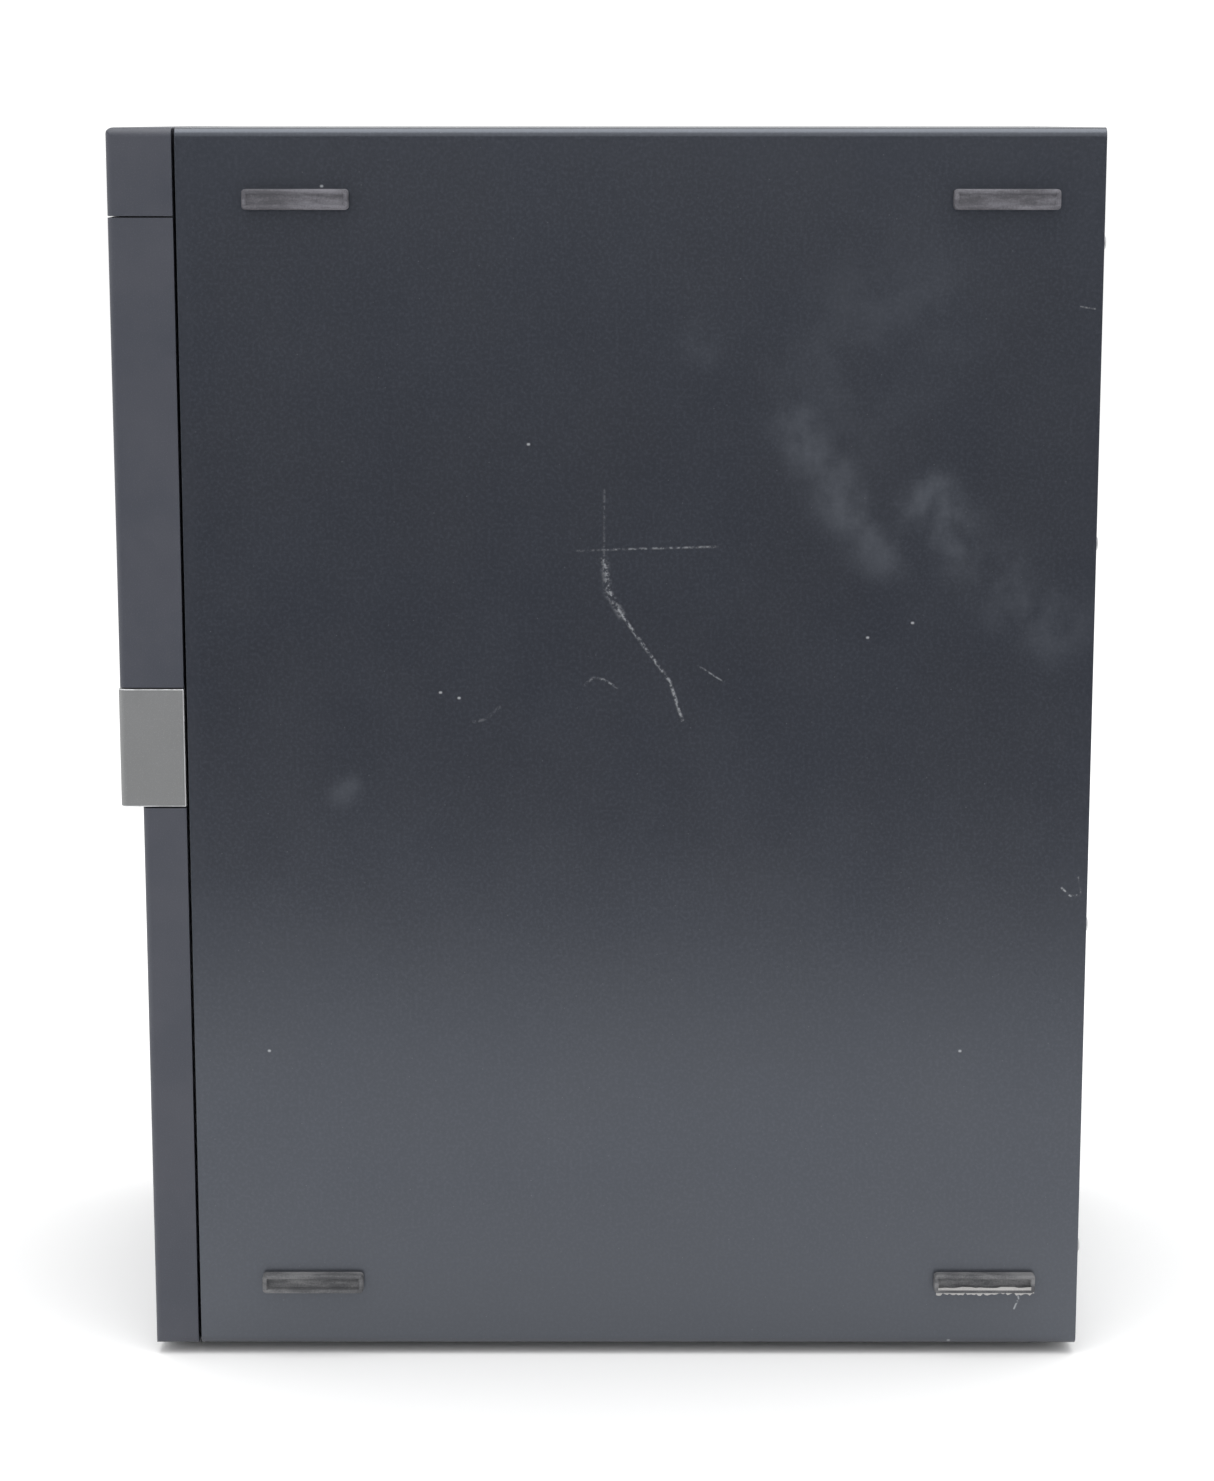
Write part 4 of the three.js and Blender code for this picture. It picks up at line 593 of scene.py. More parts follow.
class Piece:
    """Mesh code for one visible piece, in millimetres in the model's frame.

    Every shape added is a closed body with the material of the given index.
    """

    def __init__(self, name, body, slot, *materials, replaces=()):
        self.name, self.body, self.slot = name, body, slot
        self.materials, self.replaced = materials, replaces
        self.mesh = bmesh.new()
        self.place = Matrix.Identity(4)

    def take(self, made, material):
        for face in made.faces:
            face.material_index = material
        made.transform(self.place)
        bmesh.ops.recalc_face_normals(made, faces=made.faces)
        shape = bpy.data.meshes.new("shape")
        made.to_mesh(shape)
        made.free()
        self.mesh.from_mesh(shape)
        bpy.data.meshes.remove(shape)

    def block(self, a, b, c, edge=0.2, material=0, segments=2):
        """A box from its ranges along X, Y and Z, with rounded edges."""
        made = bmesh.new()
        bmesh.ops.create_cube(made, size=1)
        sizes = [span[1] - span[0] for span in (a, b, c)]
        middle = Vector([sum(span) / 2 for span in (a, b, c)])
        made.transform(Matrix.Translation(middle) @ Matrix.Diagonal((*sizes, 1)))
        if edge:
            bmesh.ops.bevel(made, geom=made.edges[:], offset=min(edge, 0.4 * min(sizes)), segments=segments,
                            profile=0.5, affect="EDGES")
        self.take(made, material)

    def rings(self, loops, material=0, closed=False):
        """Skins a stack of loops. The ends are capped, or joined to each other."""
        made = bmesh.new()
        rows = [[made.verts.new(point) for point in loop] for loop in loops]
        for first, second in list(zip(rows, rows[1:])) + ([(rows[-1], rows[0])] if closed else []):
            for i in range(len(first)):
                j = (i + 1) % len(first)
                made.faces.new((first[i], first[j], second[j], second[i]))
        if not closed:
            made.faces.new(rows[0])
            made.faces.new(rows[-1])
        self.take(made, material)

    def lathe(self, axis, centre, profile, sides=32, material=0, closed=False):
        """A turned shape from (radius, place along the axis) steps."""
        self.rings([circle(axis, centre, r, along, sides) for r, along in profile], material, closed)

    def slab(self, axis, a, b, stack, material=0, closed=False):
        """A rounded rectangle across an axis, through (inset, corner, place along the axis) steps."""
        loops = [
            rectangle(axis, grow(a, -inset), grow(b, -inset), max(corner - inset, 0.05), along)
            for inset, corner, along in stack
        ]
        self.rings(loops, material, closed)

    def prism(self, axis, outline, span, material=0):
        """A flat outline, drawn across an axis, made solid along it."""
        self.rings([[across(axis, a, b, along) for a, b in outline] for along in span], material)

    def tube(self, path, radius, sides=8, material=0, closed=False):
        loops = []
        for point, (side, up) in zip(path, frames_along(path)):
            turns = [2 * math.pi * i / sides for i in range(sides)]
            loops.append([point + radius * (side * math.cos(t) + up * math.sin(t)) for t in turns])
        self.rings(loops, material, closed)

    def screw(self, axis, centre, seat, outward, radius=3.0, material=0):
        """A pan-head screw with a cross recess, its head standing on a seat."""
        slot = cross_slot(0.52 * radius, 0.12 * radius)
        profile = ((radius, 0), (radius, 0.3), (0.94 * radius, 0.5), (0.72 * radius, 0.68),
            (0.56 * radius, 0.7),
                   (slot, 0.7), (slot, 0.25))
        steps = [(r, seat + outward * h * radius * 0.8) for r, h in profile]
        self.lathe(axis, centre, steps, 48, material)

    def done(self, sharp_degrees=50):
        self.mesh.transform(Matrix.Scale(MM, 4))
        mesh = bpy.data.meshes.new(self.name)
        self.mesh.to_mesh(mesh)
        self.mesh.free()
        for material in self.materials:
            mesh.materials.append(material)
        obj = bpy.data.objects.new(self.name, mesh)
        bpy.context.scene.collection.objects.link(obj)
        smooth(obj, sharp_degrees)
        weighted = obj.modifiers.new("weighted normals", "WEIGHTED_NORMAL")
        weighted.keep_sharp = True
        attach(obj, self.body)
        if self.replaced:
            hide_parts(*self.replaced)
        return obj


# ---------------------------------------------------------------- feet


def side_foot(name):
    """A rubber bar foot: a raised rim round a long groove, worn deeper on the lower two."""
    low, high = millimetres(name)
    y, z = (low.y, high.y), (low.z, high.z)
    face = high.x
    worn = "lower" in name
    foot = Piece(name + "_pad", "case", "rubber", DUSTY if worn else RUBBER, FILM, replaces=(name,))
    groove = 1.3 if worn else 0.7
    foot.slab("x", y, z, [
        (0, 1, low.x - 0.28), (0, 1, face - 0.6), (0.12, 1, face - 0.22), (0.4, 1, face - 0.03),
        (0.62, 1, face),
        (0.95, 1, face - 0.04), (1.2, 1, face - 0.2), (1.45, 1, face - groove),
        (1.7, 1, face - groove - 0.1),
    ])
    if name == "side_foot_lower_rear":
        # a torn film that still sticks to the foot's lower half
        draw = random.Random(4)
        top = [(y[0] + 0.6 + i * 1.2, z[0] + 1.9 + draw.uniform(-0.25, 0.2)) for i in range(23)]
        ragged = [(y[1] - 0.2 - i * 0.62, z[0] - 0.2 + draw.uniform(-0.35, 0.55)) for i in range(45)]
        foot.prism("x", top + ragged, (face - 0.32, face - 0.12), 1)
    return foot.done()


def bottom_foot(name):
    low, high = millimetres(name)
    radius = (high.x - low.x) / 2
    centre = ((low.x + high.x) / 2, (low.y + high.y) / 2)
    foot = Piece(name + "_pad", "case", "rubber", RUBBER, replaces=(name,))
    profile = [(-0.5, high.z + 0.28), (0, 2.3), (0, 0.8), (-0.25, 0.25), (-0.8, 0), (-2.6, 0),
        (-3.1, 0.25), (-3.4, 0.9)]
    foot.lathe("z", centre, [(radius + r, z) for r, z in profile], 40)
    return foot.done()


for node in sorted(NODES):
    if node.startswith("side_foot_"):
        side_foot(node)
    elif node.startswith("foot_"):
        bottom_foot(node)

# ---------------------------------------------------------------- front

UPPER_FRONT = millimetres("power_button")[0].y
FRONT_PORT_Z = sum(p.z for p in millimetres("power_button")) / 2
PORT_MOUTH_WIDTH = 14.4


def power_mark():
    """A raised ring and bar on the power button."""
    low, high = millimetres("power_button")
    x = (low.x + high.x) / 2
    mark = Piece("power_mark", "power_button", "light_pipe", MILKY)
    gap = math.radians(32)
    turns = [math.pi / 2 + gap + (2 * math.pi - 2 * gap) * i / 40 for i in range(41)]
    arc = [(x + 3.5 * math.cos(t), FRONT_PORT_Z + 3.5 * math.sin(t)) for t in turns]
    inner = [(x + 2.8 * math.cos(t), FRONT_PORT_Z + 2.8 * math.sin(t)) for t in reversed(turns)]
    mark.prism("y", arc + inner, (UPPER_FRONT - 0.1, UPPER_FRONT + 0.3))
    mark.block(around(x, 0.7), (UPPER_FRONT - 0.1, UPPER_FRONT + 0.3), around(FRONT_PORT_Z + 2.9, 3.4),
        0.05)
    mark.done()


def usb_tongue(piece, x, y, z, lie, material, contact):
    """A socket's tongue with its four contacts. Lie is the axis that the tongue is wide along."""
    if lie == "x":
        piece.block(around(x, 11.2), y, (z[0] - 0.1, z[1] + 0.1), 0.15, material)
        for step in (-3.5, -1.2, 1.2, 3.5):
            piece.block(around(x + step, 1.1), (y[0] + 0.6, y[1] - 2), (z[0] - 0.2, z[0]), 0.05, contact)
        return
    piece.block((x[0] - 0.1, x[1] + 0.1), y, around(z, 10.8), 0.15, material)
    for step in (-3.5, -1.2, 1.2, 3.5):
        piece.block((x[0] - 0.2, x[0]), (y[0] + 2, y[1] - 0.6), around(z + step, 1.1), 0.05, contact)


def front_inserts():
    """Plastic tongues and contacts in the front sockets, and the headset socket's ring."""
    inserts = Piece("front_port_inserts", "case", "connector_black", BLACK, BLUE, GOLD)
    for node, material in (("front_ports_left", 1), ("front_ports_right", 0)):
        low, high = millimetres(node)
        for x in (low.x + PORT_MOUTH_WIDTH / 2, high.x - PORT_MOUTH_WIDTH / 2):
            usb_tongue(inserts, x, (low.y + 0.9, high.y - 2.2), (FRONT_PORT_Z + 0.2, FRONT_PORT_Z + 2),
                "x", material, 2)
    low, high = millimetres("front_port_type_c")
    x = (low.x + high.x) / 2
    inserts.block(around(x, 6.7), (low.y + 0.9, high.y - 4), around(FRONT_PORT_Z, 0.8), 0.1)
    for i in range(8):
        inserts.block(around(x - 2.45 + i * 0.7, 0.3), (low.y + 1.2, low.y + 4),
            around(FRONT_PORT_Z, 0.9), 0, 2)
    low, high = millimetres("headset_jack")
    centre = ((low.x + high.x) / 2, FRONT_PORT_Z)
    ring = [(1.85, 1), (1.85, -0.1), (2.1, -0.25), (2.7, -0.25), (2.9, -0.1), (2.9, 0.05)]
    inserts.lathe("y", centre, [(r, low.y + h) for r, h in ring], 40, 2, closed=True)
    inserts.done()


def drive_front():
    """The optical drive's lamp, emergency hole and moulded finger line."""
    low, high = millimetres("tray_bezel")
    eject = millimetres("eject_button")
    face = low.y
    z = (eject[0].z + eject[1].z) / 2
    x = eject[0].x
    front = Piece("drive_front_details", "disc_tray", "black_plastic", BLACK, MILKY)
    front.slab("y", around(x - 8, 3.2), around(z, 1.4),
        from_base(face, [(0, 0.6, 0.5), (0, 0.6, -0.05), (0.2, 0.45, -0.15)]), 1)
    hole = [(0.45, 0.4), (0.45, -0.05), (0.6, -0.12), (1.0, -0.12), (1.1, 0.3)]
    front.lathe("y", (x - 14, z), [(r, face + h) for r, h in hole], 24, 0, closed=True)
    front.lathe("y", (x - 14, z), [(0.46, face + 0.2), (0.46, face + 0.05)], 24, 0)
    front.slab("y", (low.x + 8, low.x + 62), around(high.z - 1.4, 0.7),
        from_base(face, [(0, 0.3, 0.3), (0, 0.3, -0.04), (0.12, 0.2, -0.1)]), 0)
    front.done()


def intake_screen():
    """The woven dust screen behind the lower bezel's slots."""
    band = millimetres("accent_band")[0].z
    shell = millimetres("front_bezel")
    back = millimetres("front_wall")[0].y
    x = (shell[0].x + 9.5, shell[1].x - 9.5)
    z = (shell[0].z + 12, band - 7)
    y = shell[0].y + 9.4
    pitch, bar = 2.4, 0.45
    screen = Piece("intake_screen", "case", "fan_black", BLACK)
    for i in range(1 + int((x[1] - x[0]) / pitch)):
        screen.block(around(x[0] + i * pitch, bar), (y, y + bar), z, 0)
    for i in range(1 + int((z[1] - z[0]) / pitch)):
        screen.block(x, (y + 0.7 * bar, y + 1.7 * bar), around(z[0] + i * pitch, bar), 0)
    for edge in (x[0], x[1]):
        screen.block(around(edge, 3), (y - 0.2, min(y + 1.6, back - 1)), z, 0.3)
    screen.done()


power_mark()
front_inserts()
drive_front()
intake_screen()

# ---------------------------------------------------------------- rear

WALL_BACK = millimetres("supply_case")[1].y + 1.3
SOCKET_BACK = millimetres("usb_stack")[1].y
BOARD_FACE = millimetres("motherboard")[1].x - 1.6


def off_board(far, near):
    """The x span between two distances in front of the bare board, towards low x."""
    return (BOARD_FACE - far, BOARD_FACE - near)


def socket_details():
    """Tongues, contacts, lamps and coloured rings in the rear sockets."""
    sockets = Piece("rear_socket_inserts", "case", "connector_black", BLACK, BLUE, GOLD, PINK, GREEN, AMBER)
    usb = millimetres("usb_stack")
    lan = millimetres("lan_stack")
    middle = (lan[0].z + lan[1].z) / 2
    tongue_y = (SOCKET_BACK - 11, SOCKET_BACK - 0.9)
    for z, material in ((usb[0].z + 8, 0), (usb[1].z - 8, 1), (middle, 0)):
        for off in (2, 9.8):
            x = (BOARD_FACE - off - 2.4, BOARD_FACE - off - 0.6)
            usb_tongue(sockets, x, tongue_y, z, "z", material, 2)
    display = millimetres("display_ports")
    for z in (display[0].z + 10.5, display[1].z - 10.5):
        sockets.block(off_board(5.1, 3.9), (SOCKET_BACK - 9, SOCKET_BACK - 0.9), around(z, 12.2), 0.15)
        for i in range(10):
            place = around(z - 4.95 + i * 1.1, 0.5)
            sockets.block(off_board(5.2, 5), (SOCKET_BACK - 7, SOCKET_BACK - 1.4), place, 0, 2)
    for i in range(8):
        z = middle - 3.57 + i * 1.02
        wire = [(BOARD_FACE - 28.7, SOCKET_BACK - 2, z), (BOARD_FACE - 28, SOCKET_BACK - 5, z),
                (BOARD_FACE - 25.5, SOCKET_BACK - 12, z)]
        sockets.tube(smooth_path(wire, 6), 0.2, 6, 2)
    for side, material in ((-7.6, 4), (7.6, 5)):
        sockets.slab("y", off_board(28.5, 24.5), around(middle + side, 2.1),
            from_base(SOCKET_BACK, [(0, 0.4, -0.2), (0, 0.4, 0.1), (0.25, 0.3, 0.2)]), material)
    audio = millimetres("audio_jacks")
    for step, material in ((6, 3), (16.5, 4), (27, 1)):
        centre = (BOARD_FACE - 6.6, audio[0].z + step)
        ring = [(1.85, -2), (1.85, 0.3), (2.2, 0.5), (3.4, 0.5), (3.9, 0.25), (3.9, -0.2)]
        sockets.lathe("y", centre, [(r, SOCKET_BACK + h) for r, h in ring], 40, material, closed=True)
    sockets.done()


def shield_stamping():
    """Ribs pressed into the port shield round each socket, with grounding tongues."""
    shield = Piece("shield_stampings", "case", "socket_steel", SOCKET)
    for node in ("display_ports", "usb_stack", "lan_stack", "audio_jacks"):
        low, high = millimetres(node)
        x, z = grow((low.x, high.x), 1.6), grow((low.z, high.z), 1.6)
        shield.slab("y", x, z, from_base(WALL_BACK,
            [(-0.8, 1.5, -0.1), (-0.6, 1.5, 0.3), (-0.1, 1.5, 0.45), (0.4, 1.5, 0.3), (0.6, 1.5, -0.1)]),
            0, closed=True)
        shield.block((low.x - 6, low.x - 2.8), (WALL_BACK, WALL_BACK + 0.35),
            around((low.z + high.z) / 2, 5), 0.15)
    shield.done()


def rear_fasteners():
    """Screws and rivets on the rear: fans, power supply and skin."""
    screws = Piece("rear_fasteners", "case", "sheet_steel", SOCKET, ZINC)
    supply = millimetres("supply_case")
    for x in (supply[0].x + 5.5, supply[1].x - 5.5):
        for z in (supply[0].z + 5.5, supply[1].z - 5.5):
            outer_x = (min(x, x - 8) if x < 0 else x - 4.5, max(x, x + 8) if x > 0 else x + 4.5)
            outer_z = (z - 8, z + 4.5) if z < 290 else (z - 4.5, z + 4)
            screws.block(outer_x, (WALL_BACK - 0.9, WALL_BACK + 0.05), outer_z, 0.3, 1)
            screws.screw("y", (x, z), WALL_BACK, 1, 3.4)
    for fan, spacing, seat in (("rear_fan_frame", 82.5, WALL_BACK),
            ("supply_fan_frame", 71.5, supply[1].y)):
        low, high = millimetres(fan)
        for sx in (-1, 1):
            for sz in (-1, 1):
                centre = ((low.x + high.x + sx * spacing) / 2, (low.z + high.z + sz * spacing) / 2)
                screws.screw("y", centre, seat, 1, 3.0)
    skin = millimetres("outer_skin")
    for z in (skin[0].z + 28, skin[0].z + 120, skin[1].z - 110, skin[1].z - 30):
        screws.lathe("y", (skin[1].x - 4.2, z),
            from_base(skin[1].y, [(2.2, -0.1), (2.2, 0.35), (1.6, 0.75), (0.5, 0.9)]), 24)
    screws.done()


def slot_details():
    """Beads pressed into the slot covers, and the retainer's grip."""
    beads = Piece("slot_cover_beads", "case", "sheet_steel", ZINC)
    for i in range(1, 5):
        low, high = millimetres(f"slot_cover_{i}")
        back = low.y + 1
        z = (low.z + high.z) / 2
        beads.slab("y", (low.x + 14, high.x - 10), around(z, 5.4),
            from_base(back, [(0, 2.6, -0.1), (0.35, 2.25, 0.35), (0.9, 1.7, 0.5)]))
    beads.done()
    low, high = millimetres("slot_retainer")
    grip = Piece("retainer_grip", "slot_retainer", "sheet_steel", ZINC)
    middle = (low.z + high.z) / 2
    for i in range(7):
        grip.block((high.x - 10, high.x - 5.6), (high.y - 0.5, high.y - 0.02),
            around(middle - 9 + i * 3, 1.1), 0.2)
    grip.done()


def inlet_blades():
    low, high = millimetres("mains_inlet")
    x, z = (low.x + high.x) / 2, (low.z + high.z) / 2
    blades = Piece("inlet_blades", "case", "socket_steel", NICKEL)
    for dx, dz in ((-7, -2), (0, 2), (7, -2)):
        blades.slab("y", around(x + dx, 2.2), around(z + dz, 4.2),
            from_base(high.y, [(0, 0.3, -16), (0, 0.3, -5.3), (0.35, 0.3, -4.8)]))
    blades.done()


def labels():
    """Blank labels on the rear wall, the supply and the disk."""
    low, high = millimetres("rear_fan_frame")
    supply = millimetres("supply_case")
    disk = millimetres("hard_drive")
    label = Piece("blank_labels", "case", "sheet_steel", PAPER)
    middle = (low.x + high.x) / 2
    label.slab("y", around(middle, 58), (low.z - 25, low.z - 8),
        [(0, 1.5, WALL_BACK + 0.02), (0, 1.5, WALL_BACK + 0.14)])
    label.slab("x", (supply[0].y + 14, supply[1].y - 12), (supply[0].z + 12, supply[1].z - 10), [
        (0, 2, supply[0].x - 0.02), (0, 2, supply[0].x - 0.16)])
    label.slab("y", (disk[0].x + 14, disk[1].x - 14), (disk[0].z + 40, disk[1].z - 22), [
        (0, 2, disk[0].y - 0.02), (0, 2, disk[0].y - 0.16)])
    label.done()


def latch_grip():
    low, high = millimetres("panel_latch")
    middle = (low.y + high.y) / 2
    grip = Piece("latch_grip", "panel_latch", "black_plastic", BLACK)
    pad = low.x + 0.3
    for i in range(5):
        z = low.z + 3.2 + i * 1.3
        grip.slab("x", around(middle, 26), around(z, 0.7),
            from_base(pad, [(0, 0.3, 0.6), (0, 0.3, -0.05), (0.2, 0.3, -0.2)]))
    grip.done()


socket_details()
shield_stamping()
rear_fasteners()
slot_details()
inlet_blades()
labels()
latch_grip()

# ---------------------------------------------------------------- fans


def fan_rotor(fan):
    """A hub with seven curved, twisted blades, in place of the plain rotor."""
    low, high = millimetres(fan + "_frame")
    sizes = high - low
    middle = (low + high) / 2
    size, depth = max(sizes), min(sizes)
    if sizes.y == depth:
        place = Matrix.Translation((middle.x, high.y, middle.z)) @ Matrix.Rotation(math.radians(90), 4, "X")
    else:
        place = Matrix.Translation((high.x, middle.y, middle.z)) @ Matrix.Rotation(math.radians(-90), 4,
            "Y")
    hub, tip = 0.19 * size, size / 2 - 3.4
    rotor = Piece(fan + "_blades", fan + "_rotor", "fan_black", FAN_PLASTIC, replaces=(fan + "_rotor",))
    rotor.place = place
    top = depth - 1
    rotor.lathe("z", (0, 0), [
        (hub - 0.3, 3.6), (hub, 3.9), (hub, top - 1.6), (hub - 0.5, top - 0.5), (hub - 1.6, top),
        (0.62 * hub, top),
        (0.6 * hub, top - 0.4), (0.3, top - 0.4)], 48)
    half = 8
    for blade in range(7):
        loops = []
        for k in range(8):
            share = k / 7
            r = hub - 1 + share * (tip - hub + 1)
            chord = size * (0.235 + 0.05 * share)
            pitch = math.radians(43 - 14 * share)
            start = 2 * math.pi * blade / 7 + 0.22 * share * share
            loop = []
            for side in (1, -1):
                for i in range(half + 1):
                    s = side * (i / half - 0.5)
                    thick = (1.5 - 0.7 * share) * math.sqrt(max(0, 1 - (2 * s) ** 4)) / 2 + 0.12
                    off = 0.07 * chord * (1 - 4 * s * s) + side * thick
                    u = s * chord * math.cos(pitch) - off * math.sin(pitch)
                    w = 3.6 + (depth - 4.4) / 2 + s * chord * math.sin(pitch) + off * math.cos(pitch)
                    angle = start + u / r
                    loop.append((r * math.cos(angle), r * math.sin(angle), w))
            loops.append(loop)
        rotor.rings(loops)
    rotor.done()


for fan in ("cooler_fan", "rear_fan", "supply_fan"):
    fan_rotor(fan)

# ---------------------------------------------------------------- board

BOARD_LOW, BOARD_HIGH = millimetres("motherboard")
CPU = sum(millimetres("processor"), Vector()) / 2
SLOTS_Z = [sum(p.z for p in millimetres(f"slot_cover_{i}")) / 2 for i in range(1, 5)]
SLOT_REAR = millimetres("slot_cover_1")[0].y - 46
PORTS_Z = tuple(v + s for v, s in zip((p.z for p in millimetres("port_shield")), (-0.3, 0.3)))
MODULES = [millimetres(f"memory_module_{i}") for i in (1, 2)]
ROW_STEP = MODULES[1][0].y - MODULES[0][0].y
ROWS_Y = [MODULES[0][0].y + 0.65 + i * ROW_STEP for i in range(4)]
ROWS_Z = (MODULES[0][0].z - 4.3, MODULES[0][1].z + 4.3)


def paint_faces(node, materials, choose):
    """Gives each face of a CAD node the material that its middle asks for."""
    mesh = NODES[node].data
    for material in materials:
        mesh.materials.append(material)
    for face in mesh.polygons:
        face.material_index = choose(face.center / MM)


def board_part(point):
    """0 on the board itself, or the material of the part that stands there."""
    if point.x > BOARD_FACE - 0.1:
        return 0
    y, z = point.y, point.z
    if abs(y - CPU.y) < 23 and abs(z - CPU.z) < 23:
        return 3
    if y < ROWS_Y[3] + 4 and y > ROWS_Y[0] - 4 and z > ROWS_Z[0] - 1:
        row = min(range(4), key=lambda i: abs(ROWS_Y[i] - y))
        return 1 if row % 2 else 2
    if y > CPU.y + 54:
        return 4
    if z < SLOTS_Z[0] + 5 and y > SLOT_REAR - 90:
        slot = min(range(4), key=lambda i: abs(SLOTS_Z[i] - z))
        return 2 if slot == 0 else 1
    if y < BOARD_LOW.y + 12 and z > ROWS_Z[0] + 50:
        return 5
    if y < BOARD_LOW.y + 16 and z > ROWS_Z[0] + 5:
        return 2
    return 1


def chip(parts, y, z, wide, high, legs=5, thick=1.3):
    """A black package with rows of tinned legs on two or four sides."""
    parts.block((BOARD_FACE - thick, BOARD_FACE - 0.1), around(y, wide), around(z, high), 0.15)
    parts.lathe("x", (y - wide / 2 + 1.2, z + high / 2 - 1.2),
        [(0.5, BOARD_FACE - thick - 0.03), (0.5, BOARD_FACE - 1)], 16, 2)
    lead = off_board(0.5, 0.05)
    for i in range(legs):
        for sign in (-1, 1):
            step = (i + 0.5) / legs - 0.5
            parts.block(lead, around(y + sign * (wide / 2 + 0.3), 0.9), around(z + step * high, 0.4), 0, 1)
            parts.block(lead, around(y + step * wide, 0.4), around(z + sign * (high / 2 + 0.3), 0.9), 0, 1)


def capacitor(parts, y, z, radius, height):
    """A can in a sleeve, its bright top scored with a cross."""
    top = BOARD_FACE - height
    parts.lathe("x", (y, z), [
        (radius, BOARD_FACE - 0.1), (radius, BOARD_FACE - 1.0), (radius * 0.94, BOARD_FACE - 1.3),
        (radius, BOARD_FACE - 1.7),
        (radius, top + 0.5), (radius * 0.94, top + 0.1), (radius * 0.84, top)], 28, 2)
    parts.lathe("x", (y, z), [(radius * 0.83, top + 0.3), (radius * 0.83, top - 0.05),
        (radius * 0.78, top - 0.12),
                              (cross_slot(radius * 0.6, radius * 0.07), top - 0.12),
                              (cross_slot(radius * 0.6, radius * 0.07), top - 0.02)], 32, 3)


